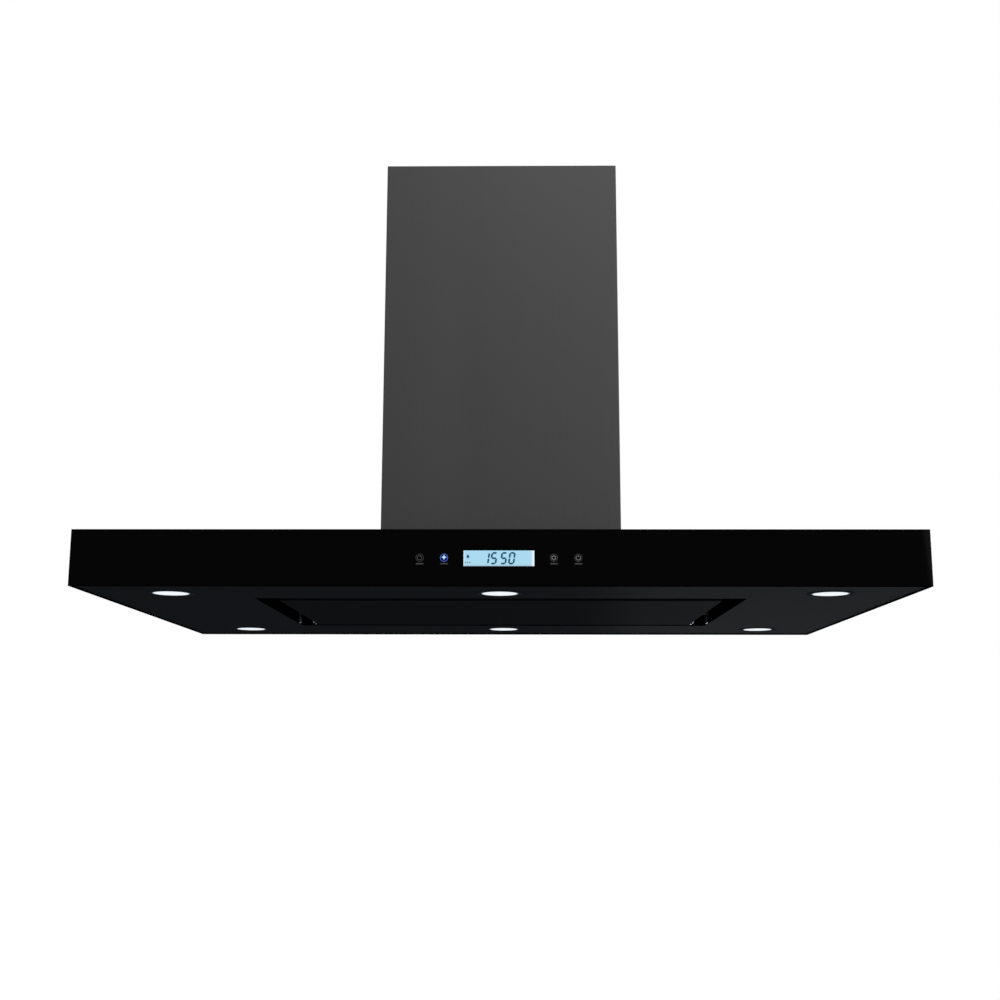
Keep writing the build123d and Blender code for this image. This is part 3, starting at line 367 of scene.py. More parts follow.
@dataclass(frozen=True)
class DisplayFinish:
    """Backlight of the clock: pale blue, brighter at its right end and dimmer along its foot."""

    name: str
    middle: Place
    half_width: float
    half_height: float
    light: Colour = (0.385, 0.675, 0.845)
    glow: Colour = (0.86, 0.95, 1.0)
    foot: Colour = (0.36, 0.50, 0.58)
    base: Colour = (0.02, 0.02, 0.02)
    roughness: float = 0.12
    specular: float = 0.05
    right_stretch: tuple[float, float] = (0.87, 1.02)
    left_stretch: tuple[float, float] = (0.94, 1.0)
    left_share: float = 0.35
    foot_stretch: tuple[float, float] = (0.70, 1.0)
    foot_share: float = 0.7

    def build(self) -> bpy.types.Material:
        """Builds the material.

        Returns:
            The material.
        """
        plain = {
            "Base Color": (*self.base, 1.0),
            "Roughness": self.roughness,
            "Specular IOR Level": self.specular,
            "Emission Strength": 1.0,
        }
        material, graph, shader = blank(self.name, plain)
        size = (1.0 / self.half_width, 1.0, 1.0 / self.half_height)
        offset = tuple(-part * by for part, by in zip(self.middle, size))
        place = graph.add("TexCoord").outputs["Object"]
        mapping = {"Vector": place, "Scale": size, "Location": offset}
        axes = graph.add("SeparateXYZ", {0: graph.add("Mapping", mapping).outputs[0]}).outputs
        leftwards = graph.math("MULTIPLY", axes[0], -1.0)
        downwards = graph.math("MULTIPLY", axes[2], -1.0)
        right = graph.step(axes[0], *self.right_stretch)
        left = graph.math("MULTIPLY", graph.step(leftwards, *self.left_stretch), self.left_share)
        low = graph.math("MULTIPLY", graph.step(downwards, *self.foot_stretch), self.foot_share)
        light = graph.tint((*self.light, 1.0), (*self.foot, 1.0), low)
        light = graph.tint(light, (*self.glow, 1.0), graph.math("MAXIMUM", left, right))
        graph.tree.links.new(light, shader.inputs["Emission Color"])
        return material


AnyFinish = Finish | LitFinish | DisplayFinish


@cache
def material_of(finish: AnyFinish) -> bpy.types.Material:
    """Material of a finish, built once."""
    return finish.build()


CHIMNEY_STEEL = Finish(
    "dark_brushed_steel",
    Effect.BRUSHED,
    (0.028, 0.028, 0.0288),
    roughness=0.40,
    contrast=0.45,
    spread=0.18,
    fineness=1300.0,
    bump=0.05,
    metallic=0.5,
)
GALVANISED = Finish(
    "galvanised_sheet",
    Effect.SPANGLED,
    (0.33, 0.34, 0.35),
    roughness=0.45,
    contrast=0.25,
    spread=0.15,
    fineness=110.0,
    bump=0.03,
    metallic=0.9,
)
MESH_PACK = replace(
    GALVANISED,
    name="filter_mesh_pack",
    colour=(0.16, 0.165, 0.17),
    roughness=0.5,
    contrast=0.8,
    spread=0.2,
    fineness=420.0,
    bump=0.4,
)
ZINC = Finish(
    "zinc_plate",
    Effect.MOULDED,
    (0.62, 0.63, 0.64),
    roughness=0.3,
    contrast=0.12,
    spread=0.12,
    fineness=700.0,
    bump=0.02,
    metallic=1.0,
)
PIN_STEEL = replace(ZINC, name="pin_steel", colour=(0.12, 0.12, 0.125))
ALUMINIUM = replace(
    ZINC,
    name="filter_aluminium",
    colour=(0.48, 0.49, 0.50),
    roughness=0.38,
    spread=0.15,
    fineness=300.0,
    bump=0.04,
)
BLACKENED = Finish(
    "blackened_steel",
    Effect.MOULDED,
    (0.016, 0.016, 0.017),
    roughness=0.45,
    contrast=0.25,
    spread=0.15,
    fineness=500.0,
    bump=0.05,
    metallic=0.9,
)
CASTING = replace(
    BLACKENED,
    name="bare_casting",
    colour=(0.2, 0.2, 0.21),
    roughness=0.55,
    contrast=0.3,
    spread=0.2,
    bump=0.25,
    metallic=0.8,
)
CANOPY_PAINT = Finish(
    "satin_black_paint",
    Effect.SPRAYED,
    (0.0030, 0.0034, 0.0037),
    roughness=0.32,
    contrast=0.25,
    spread=0.08,
    bump=0.04,
    specular=0.0,
    coat=0.35,
    coat_roughness=0.28,
    # Its foot rim is painted near black and dull: painted shade along the lower edge
    dull_axis=2,
    dull_from=UNDERSIDE_LEVEL + RIM_HEIGHT,
    dull_edge=-0.0004,
)
UNDERSIDE_PAINT = replace(
    CANOPY_PAINT,
    name="underside_black_paint",
    colour=(0.0038, 0.0050, 0.0063),
    coat=0.015,
    coat_roughness=0.42,
    # Above the underside's level, on the walls of the intake opening, it is painted near black: painted
    # shade in the recess
    dull_from=UNDERSIDE_LEVEL,
    dull_edge=0.0002,
)
PANEL_PAINT = replace(
    UNDERSIDE_PAINT,
    name="panel_black_paint",
    colour=(0.0027, 0.0037, 0.0045),
    roughness=0.36,
    coat=0.010,
    dull_axis=None,
)
BEZEL = Finish(
    "lamp_bezel_paint",
    Effect.SPRAYED,
    (0.012, 0.013, 0.014),
    roughness=0.36,
    contrast=0.2,
    fineness=1100.0,
    bump=0.05,
    specular=0.0,
)
BLACK_GLASS = Finish(
    "black_glass",
    Effect.SMEARED,
    (0.0003, 0.0003, 0.00035),
    roughness=0.25,
    contrast=0.3,
    fineness=9.0,
    specular=0.0,
    coat=0.035,
    dull_axis=1,
    dull_from=GLASS_FACE,
)
BLACK_PLASTIC = Finish(
    "black_plastic",
    Effect.MOULDED,
    (0.018, 0.018, 0.019),
    roughness=0.5,
    contrast=0.2,
    spread=0.15,
    fineness=1400.0,
    bump=0.1,
)
GREY_PLASTIC = replace(
    BLACK_PLASTIC, name="grey_plastic", colour=(0.16, 0.16, 0.17), contrast=0.15, fineness=1200.0
)
GREEN_BOARD = Finish(
    "green_board",
    Effect.MOULDED,
    (0.02, 0.12, 0.05),
    roughness=0.35,
    contrast=0.4,
    fineness=350.0,
    bump=0.05,
)
LENS_LIGHT = LitFinish(
    "lamp_light",
    (0.95, 0.985, 1.0),
    strength=1.14,
    base=(0.02, 0.02, 0.02),
    roughness=0.4,
    cell=900.0,
    variation=0.12,
)
LENS_SLOPE = replace(LENS_LIGHT, name="lamp_slope_light", light=(0.86, 0.92, 0.965), strength=1.01)
LENS_RIM = LitFinish("lamp_rim_light", (0.21, 0.28, 0.34), base=(0.05, 0.05, 0.05), roughness=0.4)
KEY_DIM = LitFinish("key_mark_dim", (0.062, 0.063, 0.065))
KEY_PALE = LitFinish("key_mark_pale", (0.17, 0.175, 0.18))
KEY_BLUE = LitFinish("key_blue", (0.0, 0.007, 0.13))
KEY_BLUE_RING = LitFinish("key_blue_ring", (0.13, 0.24, 0.80))
KEY_GLOW = LitFinish("key_blue_glow", (0.55, 0.85, 1.0))
DIGIT = LitFinish("display_digit", (0.008, 0.080, 0.160))
FAINT_DIGIT = LitFinish("display_faint_mark", (0.17, 0.33, 0.42))


# Modelling


class Primitive(Enum):
    """Meshes that a piece starts from."""

    CUBE = "primitive_cube_add"
    CIRCLE = "primitive_circle_add"
    CYLINDER = "primitive_cylinder_add"
    GRID = "primitive_grid_add"


def everything(middle: Vector, normal: Vector) -> bool:
    """Picks every face."""
    return True


class Bench:
    """Hand modelling steps, each on the one piece that is in work."""

    @staticmethod
    def take(*pieces: bpy.types.Object) -> None:
        """Selects these pieces and nothing else, and makes the first one active.

        Args:
            *pieces: The pieces, or none to select nothing.
        """
        if bpy.context.object and bpy.context.object.mode != "OBJECT":
            bpy.ops.object.mode_set(mode="OBJECT")
        bpy.ops.object.select_all(action="DESELECT")
        for piece in pieces:
            piece.select_set(True)
        if pieces:
            bpy.context.view_layer.objects.active = pieces[0]

    @staticmethod
    def start(
        shape: Primitive,
        name: str,
        place: Place,
        turn: Place = (0.0, 0.0, 0.0),
        scale: Place = (1.0, 1.0, 1.0),
        **sizes: object,
    ) -> bpy.types.Object:
        """Adds a primitive and puts its place, turn and scale into its mesh.

        Args:
            shape: Which primitive.
            name: Name of the piece.
            place: Its middle.
            turn: Its turn about each axis, in radians.
            scale: Its scale along each of its own axes.
            **sizes: Sizes that the primitive takes.

        Returns:
            The new piece.
        """
        Bench.take()
        getattr(bpy.ops.mesh, shape.value)(location=place, rotation=turn, **sizes)
        piece = bpy.context.object
        piece.name = name
        piece.data.name = name
        piece.scale = scale
        bpy.ops.object.transform_apply(location=True, rotation=True, scale=True)
        return piece

    @staticmethod
    @contextmanager
    def faces(
        piece: bpy.types.Object, test: Callable[[Vector, Vector], bool] = everything
    ) -> Iterator[None]:
        """Edit mode with the faces selected that pass a test.

        Args:
            piece: The piece to work on.
            test: Takes a face's middle and normal.

        Yields:
            Nothing, while edit mode lasts.
        """
        Bench.take(piece)
        for vertex in piece.data.vertices:
            vertex.select = False
        for edge in piece.data.edges:
            edge.select = False
        for polygon in piece.data.polygons:
            polygon.select = test(polygon.center, polygon.normal)
        bpy.context.tool_settings.mesh_select_mode = (False, False, True)
        bpy.ops.object.mode_set(mode="EDIT")
        yield
        bpy.ops.object.mode_set(mode="OBJECT")

    @staticmethod
    def apply(piece: bpy.types.Object, kind: str, **settings: object) -> None:
        """Adds a modifier and applies it.

        Args:
            piece: The piece to work on.
            kind: Type of the modifier.
            **settings: Properties of the modifier.
        """
        Bench.take(piece)
        modifier = piece.modifiers.new(kind.lower(), kind)
        for name, value in settings.items():
            setattr(modifier, name, value)
        bpy.ops.object.modifier_apply(modifier=modifier.name)

    @staticmethod
    def copy(piece: bpy.types.Object, name: str, matrix: Matrix) -> bpy.types.Object:
        """Copies a piece with its own mesh.

        Args:
            piece: The piece to copy.
            name: Name of the copy.
            matrix: Move of the copy's mesh.

        Returns:
            The copy.
        """
        other = piece.copy()
        other.data = piece.data.copy()
        other.name = name
        other.data.name = name
        other.data.transform(matrix)
        bpy.context.collection.objects.link(other)
        return other

    @staticmethod
    def join(pieces: list[bpy.types.Object], name: str) -> bpy.types.Object:
        """Joins pieces to one.

        Args:
            pieces: The pieces.
            name: Name of the joined piece.

        Returns:
            The joined piece.
        """
        Bench.take(*pieces)
        if len(pieces) > 1:
            bpy.ops.object.join()
        pieces[0].name = name
        pieces[0].data.name = name
        return pieces[0]

    @staticmethod
    def block(name: str, place: Place, size: Place, edge: float) -> bpy.types.Object:
        """Models a small block with rounded edges.

        Args:
            name: Name of the piece.
            place: Its middle.
            size: Its size along each axis.
            edge: Width of its rounded edges.

        Returns:
            The block.
        """
        piece = Bench.start(Primitive.CUBE, name, place, scale=size, size=1.0)
        Bench.apply(piece, "BEVEL", width=edge, segments=2)
        return piece

    @staticmethod
    def bar(name: str, place: Place, size: Place, tip: float, tip_share: float) -> bpy.types.Object:
        """Models a bar that narrows at both ends.

        Args:
            name: Name of the piece.
            place: Its middle.
            size: Its size between the tips.
            tip: Length of each tip.
            tip_share: Share of its height that is left at the tips.

        Returns:
            The bar.
        """
        piece = Bench.start(Primitive.CUBE, name, place, scale=size, size=1.0)
        with Bench.faces(piece, lambda middle, normal: abs(normal.x) > FACING):
            bpy.ops.mesh.extrude_region_shrink_fatten(TRANSFORM_OT_shrink_fatten={"value": tip})
            bpy.ops.transform.resize(value=(1.0, 1.0, tip_share))
        return piece

    @staticmethod
    def disc(name: str, place: Place, radius: float, corners: int) -> bpy.types.Object:
        """Adds a flat disc that faces the front, not yet raised.

        Args:
            name: Name of the piece.
            place: Its middle.
            radius: Its radius.
            corners: Number of its corners.

        Returns:
            The disc.
        """
        sizes = {"vertices": corners, "radius": radius, "fill_type": "NGON"}
        return Bench.start(Primitive.CIRCLE, name, place, FACE_FRONT, **sizes)

    @staticmethod
    def raise_face(piece: bpy.types.Object, depth: float) -> None:
        """Draws a flat outline forwards to a thin solid with its faces outwards.

        Args:
            piece: The flat outline.
            depth: Thickness of the solid.
        """
        with Bench.faces(piece):
            bpy.ops.mesh.extrude_region_move(TRANSFORM_OT_translate={"value": (0.0, -depth, 0.0)})
            bpy.ops.mesh.select_all(action="SELECT")
            bpy.ops.mesh.normals_make_consistent(inside=False)


def about(middle: Vector, angle: float, axis: str) -> Matrix:
    """Turn about an axis through a place."""
    return Matrix.Translation(middle) @ Matrix.Rotation(angle, 4, axis) @ Matrix.Translation(-middle)


# Sub-assemblies


class Assembly:
    """A sub-assembly that dresses its solids and adds its pieces."""

    def dress(self, finish: AnyFinish, *nodes: str) -> None:
        """Gives solids a finish.

        Args:
            finish: The finish.
            *nodes: Names of the solids.
        """
        for name in nodes:
            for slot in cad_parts[name].material_slots:
                slot.material = material_of(finish)
            LOG.info("%s: %s", name, finish.name)

    def mount(self, piece: bpy.types.Object, finish: AnyFinish, body: str, slot: str) -> None:
        """Finishes a new piece and fixes it to a body.

        Args:
            piece: The piece.
            finish: Its finish.
            body: Body that it moves with.
            slot: Material slot of the record that it belongs to. Not used.
        """
        piece.data.materials.clear()
        piece.data.materials.append(material_of(finish))
        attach(piece, body)
        LOG.info("%s: %s, on %s", piece.name, finish.name, body)


@dataclass
class CeilingFrame(Assembly):
    """Ceiling plate, telescopic bars and the upper chimney cover."""

    steel: tuple[str, ...] = ("ceiling_plate", "upper_uprights", "lower_uprights")
    fasteners: tuple[str, ...] = ("ceiling_screws", "canopy_screws", "clamp_bolts")
    covers: tuple[str, ...] = (
        "upper_cover_front",
        "upper_cover_rear",
        "lower_cover_front",
        "lower_cover_rear",
    )
    cover_sheet: float = 0.001
    tab_size: Place = (0.0007, 0.010, 0.0095)
    tab_drop: float = 0.0090
    tab_edge: float = 0.0002

    def seam_tabs(self, cover: str) -> bpy.types.Object:
        """Models the tabs that close both side seams of a cover at its top, above its strips.

        Args:
            cover: Name of the cover's front half.

        Returns:
            The two tabs.
        """
        low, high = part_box(cover)
        level = high.z - self.tab_drop
        inside = self.cover_sheet + self.tab_size[0]
        tabs = []
        for place in (low.x + inside, high.x - inside):
            tabs.append(Bench.block("tab", (place, 0.0, level), self.tab_size, self.tab_edge))
        return Bench.join(tabs, f"{cover}_seam_tabs")

    def build(self) -> None:
        """Dresses the frame and both chimney covers, and closes the tops of their seams."""
        self.dress(GALVANISED, *self.steel)
        self.dress(ZINC, *self.fasteners)
        self.dress(CHIMNEY_STEEL, *self.covers)
        for cover, body in (("upper_cover_front", "ceiling_frame"), ("lower_cover_front", "canopy")):
            self.mount(self.seam_tabs(cover), CHIMNEY_STEEL, body, "chimney_steel")


@dataclass
class Canopy(Assembly):
    """Canopy body with its glass front, wiring box and gland."""

    plastic: tuple[str, ...] = ("control_box", "control_box_lid", "mains_gland", "control_carrier")

    def build(self) -> None:
        """Dresses the canopy."""
        self.dress(CANOPY_PAINT, "canopy_shell")
        self.dress(UNDERSIDE_PAINT, "underside_panel")
        self.dress(BLACK_GLASS, "front_glass")
        self.dress(BLACK_PLASTIC, *self.plastic)
        self.dress(GREEN_BOARD, "power_board", "touch_board")


class Segment(Enum):
    """Bars of one clock digit: place across and up in half sizes, and whether it is upright."""

    TOP = (0.0, 1.0, False)
    UPPER_RIGHT = (1.0, 0.5, True)
    LOWER_RIGHT = (1.0, -0.5, True)
    FOOT = (0.0, -1.0, False)
    LOWER_LEFT = (-1.0, -0.5, True)
    UPPER_LEFT = (-1.0, 0.5, True)
    MIDDLE = (0.0, 0.0, False)


DIGIT_SEGMENTS = {
    "0": tuple(segment for segment in Segment if segment is not Segment.MIDDLE),
    "1": (Segment.UPPER_RIGHT, Segment.LOWER_RIGHT),
    "5": (Segment.TOP, Segment.UPPER_LEFT, Segment.MIDDLE, Segment.LOWER_RIGHT, Segment.FOOT),
}


@dataclass
class ClockDisplay(Assembly):
    """Lit clock in its window: slanted digits, a drop sign and three small marks."""

    digits: tuple[tuple[str, float], ...] = (
        ("1", -0.0132),
        ("5", -0.0052),
        ("5", 0.0051),
        ("0", 0.0135),
    )
    digit_width: float = 0.0068
    digit_height: float = 0.0130
    bar: float = 0.0019
    bar_gap: float = 0.0003
    bar_tip_share: float = 0.15
    slant: float = radians(8.0)
    depth: float = 0.00008
    drop_place: tuple[float, float] = (-0.0324, 0.0017)
    drop_radius: float = 0.0015
    drop_tip: float = 0.0017
    drop_corners: int = 16
    mark_places: tuple[float, ...] = (-0.0349, -0.0326, -0.0303)
    mark_level: float = -0.0045
    mark_size: tuple[float, float] = (0.0016, 0.0013)
    low: Vector = field(default_factory=lambda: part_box("display_window")[0])
    high: Vector = field(default_factory=lambda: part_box("display_window")[1])

    @property
    def middle(self) -> Vector:
        """Middle of the window's front face."""
        return Vector(((self.low.x + self.high.x) / 2, self.low.y, (self.low.z + self.high.z) / 2))

    def flat(self, x: float, z: float) -> Place:
        """Place in the window's front face, from its middle."""
        return (self.middle.x + x, self.middle.y, self.middle.z + z)

    def segment(self, length: float) -> bpy.types.Object:
        """Models one bar with pointed ends, lying across at the window's middle.

        Args:
            length: Length between its points.

        Returns:
            The bar.
        """
        point = self.bar / 2
        place = (self.middle.x, self.middle.y - self.depth / 2, self.middle.z)
        size = (length - 2 * point, self.depth, self.bar)
        return Bench.bar("segment", place, size, point, self.bar_tip_share)

    def build_digits(self) -> None:
        """Models the four digits as one piece."""
        half_x = (self.digit_width - self.bar) / 2
        half_z = (self.digit_height - self.bar) / 2
        across = self.segment(2 * half_x - self.bar_gap)
        upright = self.segment(half_z - self.bar_gap)
        upright.data.transform(about(self.middle, pi / 2, "Y"))
        bars = []
        for digit, place in self.digits:
            for segment in DIGIT_SEGMENTS[digit]:
                column, row, stands = segment.value
                move = Matrix.Translation((place + column * half_x, 0.0, row * half_z))
                bars.append(Bench.copy(upright if stands else across, "bar", move))
        for pattern in (across, upright):
            bpy.data.objects.remove(pattern)
        piece = Bench.join(bars, "clock_digits")
        lean = Matrix.Identity(4)
        lean[0][2] = tan(self.slant)
        lean[0][3] = -tan(self.slant) * self.middle.z
        piece.data.transform(lean)
        self.mount(piece, DIGIT, "canopy", "display_window")

    def build_signs(self) -> None:
        """Models the drop sign and the small marks under it."""
        place = self.flat(*self.drop_place)
        drop = Bench.disc("display_drop", place, self.drop_radius, self.drop_corners)
        tip = max(drop.data.vertices, key=lambda vertex: vertex.co.z)
        tip.co.z += self.drop_tip
        Bench.raise_face(drop, self.depth)
        self.mount(drop, DIGIT, "canopy", "display_window")
        width, height = self.mark_size
        size = (width, 2 * self.depth, height)
        marks = []
        for x in self.mark_places:
            marks.append(Bench.block("mark", self.flat(x, self.mark_level), size, self.depth / 2))
        self.mount(Bench.join(marks, "display_marks"), FAINT_DIGIT, "canopy", "display_window")

    def build(self) -> None:
        """Lights the window and draws the clock on it."""
        size = (self.high - self.low) / 2
        self.dress(DisplayFinish("display_backlight", tuple(self.middle), size.x, size.z), "display_window")
        self.dress(BLACK_PLASTIC, "lcd_module")
        self.build_digits()
        self.build_signs()


class KeySign(Enum):
    """Sign inside a touch key's ring."""

    TIMER = "timer"
    LAMP = "lamp"
    FAN = "fan"
    POWER = "power"


SIGN_FINISHES = {
    KeySign.TIMER: KEY_DIM,
    KeySign.LAMP: KEY_GLOW,
    KeySign.FAN: KEY_PALE,
    KeySign.POWER: KEY_PALE,
}


@dataclass
class TouchKeys(Assembly):
    """Four lit signs on the glass, each a ring with a sign in it and plain bars below."""

    keys: tuple[tuple[KeySign, float], ...] = (
        (KeySign.TIMER, -0.0828),
        (KeySign.LAMP, -0.0573),
        (KeySign.FAN, 0.0573),
        (KeySign.POWER, 0.0828),
    )
    ring_radius: float = 0.0041
    ring_width: float = 0.00035
    ring_corners: int = 40
    lift: float = 0.0005
    dial_radius: float = 0.0026
    dial_width: float = 0.0006
    hand_across: float = 0.0003
    hand_lift: float = 0.0012
    hand_size: tuple[float, float] = (0.0003, 0.0008)
    arc_radius: float = 0.0027
    arc_gap: float = radians(45.0)
    stem_lift: float = 0.0019
    stem_size: tuple[float, float] = (0.0004, 0.0016)
    hub_radius: float = 0.0022
    line_width: float = 0.0007
    blades: int = 6
    blade_reach: float = 0.0024
    blade_radius: float = 0.0005
    blade_corners: int = 12
    star_radius: float = 0.0029
    star_waist: float = 0.42
    star_corners: int = 8
    bar_tip: float = 0.25
    bar_tip_share: float = 0.5
    dash_drop: float = 0.0063
    dash_height: float = 0.0013
    dashes: tuple[tuple[float, float], ...] = (
        (-0.0027, 0.0016),
        (0.0002, 0.0028),
        (0.0031, 0.0014),
    )
    depth: float = 0.00008

    @property
    def level(self) -> float:
        """Level of the keys, a little above the middle of the touch pads."""
        low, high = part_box("touch_pads")
        return (low.z + high.z) / 2 + self.lift

    def ring(
        self, name: str, x: float, z: float, radius: float, width: float, gap: float = 0.0
    ) -> bpy.types.Object:
        """Models a ring on the glass.

        Args:
            name: Name of the piece.
            x: Its middle across.
            z: Its middle upwards.
            radius: Its outer radius.
            width: Width of its line.
            gap: Half angle of a gap at its top.

        Returns:
            The raised ring.
        """

        def in_gap(middle: Vector, normal: Vector) -> bool:
            """Picks the faces in the gap."""
            return abs(atan2(middle.x - x, middle.z - z)) < gap

        piece = Bench.disc(name, (x, GLASS_FACE, z), radius, self.ring_corners)
        with Bench.faces(piece):
            bpy.ops.mesh.inset(thickness=width, depth=0.0)
            bpy.ops.mesh.delete(type="FACE")
        if gap:
            with Bench.faces(piece, in_gap):
                bpy.ops.mesh.delete(type="FACE")
        Bench.raise_face(piece, self.depth)
        return piece

    def bar(self, name: str, x: float, z: float, width: float, height: float) -> bpy.types.Object:
        """Models a bar with narrowed ends on the glass.

        Args:
            name: Name of the piece.
            x: Its middle across.
            z: Its middle upwards.
            width: Its width between the tips.
            height: Its height.

        Returns:
            The bar.
        """
        size = (width, 2 * self.depth, height)
        return Bench.bar(name, (x, GLASS_FACE, z), size, self.bar_tip * height, self.bar_tip_share)

    def timer_sign(self, x: float) -> list[bpy.types.Object]:
        """Models a dial with one hand."""
        dial = self.ring("dial", x, self.level, self.dial_radius, self.dial_width)
        return [dial, self.bar("hand", x + self.hand_across, self.level + self.hand_lift, *self.hand_size)]

    def power_sign(self, x: float) -> list[bpy.types.Object]:
        """Models an open ring with a stem in its gap."""
        arc = self.ring("arc", x, self.level, self.arc_radius, self.line_width, self.arc_gap)
        return [arc, self.bar("stem", x, self.level + self.stem_lift, *self.stem_size)]

    def fan_sign(self, x: float) -> list[bpy.types.Object]:
        """Models a hub with round blades about it.

        Args:
            x: Its middle across.

        Returns:
            The hub and the blades.
        """
        parts = [self.ring("hub", x, self.level, self.hub_radius, self.line_width)]
        middle = Vector((x, GLASS_FACE, self.level))
        top = (x, GLASS_FACE, self.level + self.blade_reach)
        for count in range(self.blades):
            blade = Bench.disc("blade", top, self.blade_radius, self.blade_corners)
            Bench.raise_face(blade, self.depth)
            blade.data.transform(about(middle, count * 2 * pi / self.blades, "Y"))
            parts.append(blade)
        return parts

    def lamp_sign(self, x: float) -> list[bpy.types.Object]:
        """Models a star, with every second corner drawn in to its waist.

        Args:
            x: Its middle across.

        Returns:
            The star alone.
        """
        middle = Vector((x, GLASS_FACE, self.level + self.lift))
        star = Bench.disc("star", tuple(middle), self.star_radius, self.star_corners)
        for vertex in list(star.data.vertices)[1::2]:
            vertex.co = middle.lerp(vertex.co, self.star_waist)
        Bench.raise_face(star, 2 * self.depth)
        return [star]

    def sign(self, kind: KeySign, x: float) -> bpy.types.Object:
        """Models the sign of one key.

        Args:
            kind: Which sign.
            x: Its middle across.

        Returns:
            The sign.
        """
        makers = {
            KeySign.TIMER: self.timer_sign,
            KeySign.LAMP: self.lamp_sign,
            KeySign.FAN: self.fan_sign,
            KeySign.POWER: self.power_sign,
        }
        return Bench.join(makers[kind](x), f"key_sign_{kind.value}")

    def dash_row(self, kind: KeySign, x: float) -> bpy.types.Object:
        """Models the plain bars under one key.

        Args:
            kind: Which key.
            x: Its middle across.

        Returns:
            The bars.
        """
        level = self.level - self.dash_drop
        bars = []
        for place, width in self.dashes:
            bars.append(self.bar("dash", x + place, level, width, self.dash_height))
        return Bench.join(bars, f"key_dashes_{kind.value}")

    def build(self) -> None:
        """Dresses the pads and models the four keys."""
        self.dress(BLACK_PLASTIC, "touch_pads")
        for kind, x in self.keys:
            lit = kind is KeySign.LAMP
            ring = self.ring(f"key_ring_{kind.value}", x, self.level, self.ring_radius, self.ring_width)
            self.mount(ring, KEY_BLUE_RING if lit else KEY_DIM, "canopy", "front_glass")
            if lit:
                place = (x, GLASS_FACE, self.level)
                radius = self.ring_radius - self.ring_width
                disc = Bench.disc("key_disc_lamp", place, radius, self.ring_corners)
                Bench.raise_face(disc, self.depth)
                self.mount(disc, KEY_BLUE, "canopy", "front_glass")
            self.mount(self.sign(kind, x), SIGN_FINISHES[kind], "canopy", "front_glass")
            self.mount(self.dash_row(kind, x), KEY_DIM, "canopy", "front_glass")


@dataclass
class Lamps(Assembly):
    """Six round lamps in the underside, each with a lens of fine rings."""

    rows: tuple[str, ...] = ("front", "rear")
    columns: tuple[str, ...] = ("left", "middle", "right")
    corners: int = 64
    ring_pitch: float = 0.0020
    ring_depth: float = 0.00035
    rings: int = 8
    edge: float = 0.0004
    rim: float = 0.0010
    flat_share: float = 0.98

    def lens(self, place: str) -> bpy.types.Object:
        """Models one lens: a disc whose lower face steps in and out in rings.

        Args:
            place: Which lamp.

        Returns:
            The lens.
        """

        def lower(spot: Vector, normal: Vector) -> bool:
            """Picks the flat lower face."""
            return normal.z < -self.flat_share

        low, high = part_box(f"lamp_lens_{place}")
        middle = tuple((low + high) / 2)
        sizes = {"vertices": self.corners, "radius": (high.x - low.x) / 2, "depth": high.z - low.z}
        piece = Bench.start(Primitive.CYLINDER, f"lens_{place}", middle, **sizes)
        with Bench.faces(piece, lower):
            bpy.ops.mesh.bevel(offset=self.edge, segments=2, affect="EDGES")
        with Bench.faces(piece, lower):
            for ring in range(self.rings):
                rise = self.ring_depth if ring % 2 == 0 else -self.ring_depth
                for _ in range(2):
                    bpy.ops.mesh.inset(thickness=self.ring_pitch / 2, depth=0.0)
                bpy.ops.transform.translate(value=(0.0, 0.0, rise))
        return piece

    def shade_lens(self, lens: bpy.types.Object, place: str) -> None:
        """Gives the slopes between the rings of a lens, and its outer rim, a dimmer light.

        Args:
            lens: The lens.
            place: Which lamp.
        """
        low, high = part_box(f"lamp_lens_{place}")
        middle = (low + high) / 2
        for finish in (LENS_SLOPE, LENS_RIM):
            lens.data.materials.append(material_of(finish))
        for polygon in lens.data.polygons:
            away = (polygon.center - middle).xy.length
            sloped = polygon.normal.z > -self.flat_share
            outer = away > (high.x - low.x) / 2 - self.rim
            polygon.material_index = 2 if outer else int(sloped)

    def build(self) -> None:
        """Dresses the housings and models the lenses."""
        for place in (f"{row}_{column}" for row in self.rows for column in self.columns):
            self.dress(BEZEL, f"lamp_housing_{place}")
            lens = self.lens(place)
            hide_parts(f"lamp_lens_{place}")
            self.mount(lens, LENS_LIGHT, "canopy", "lamp_lens")
            self.shade_lens(lens, place)


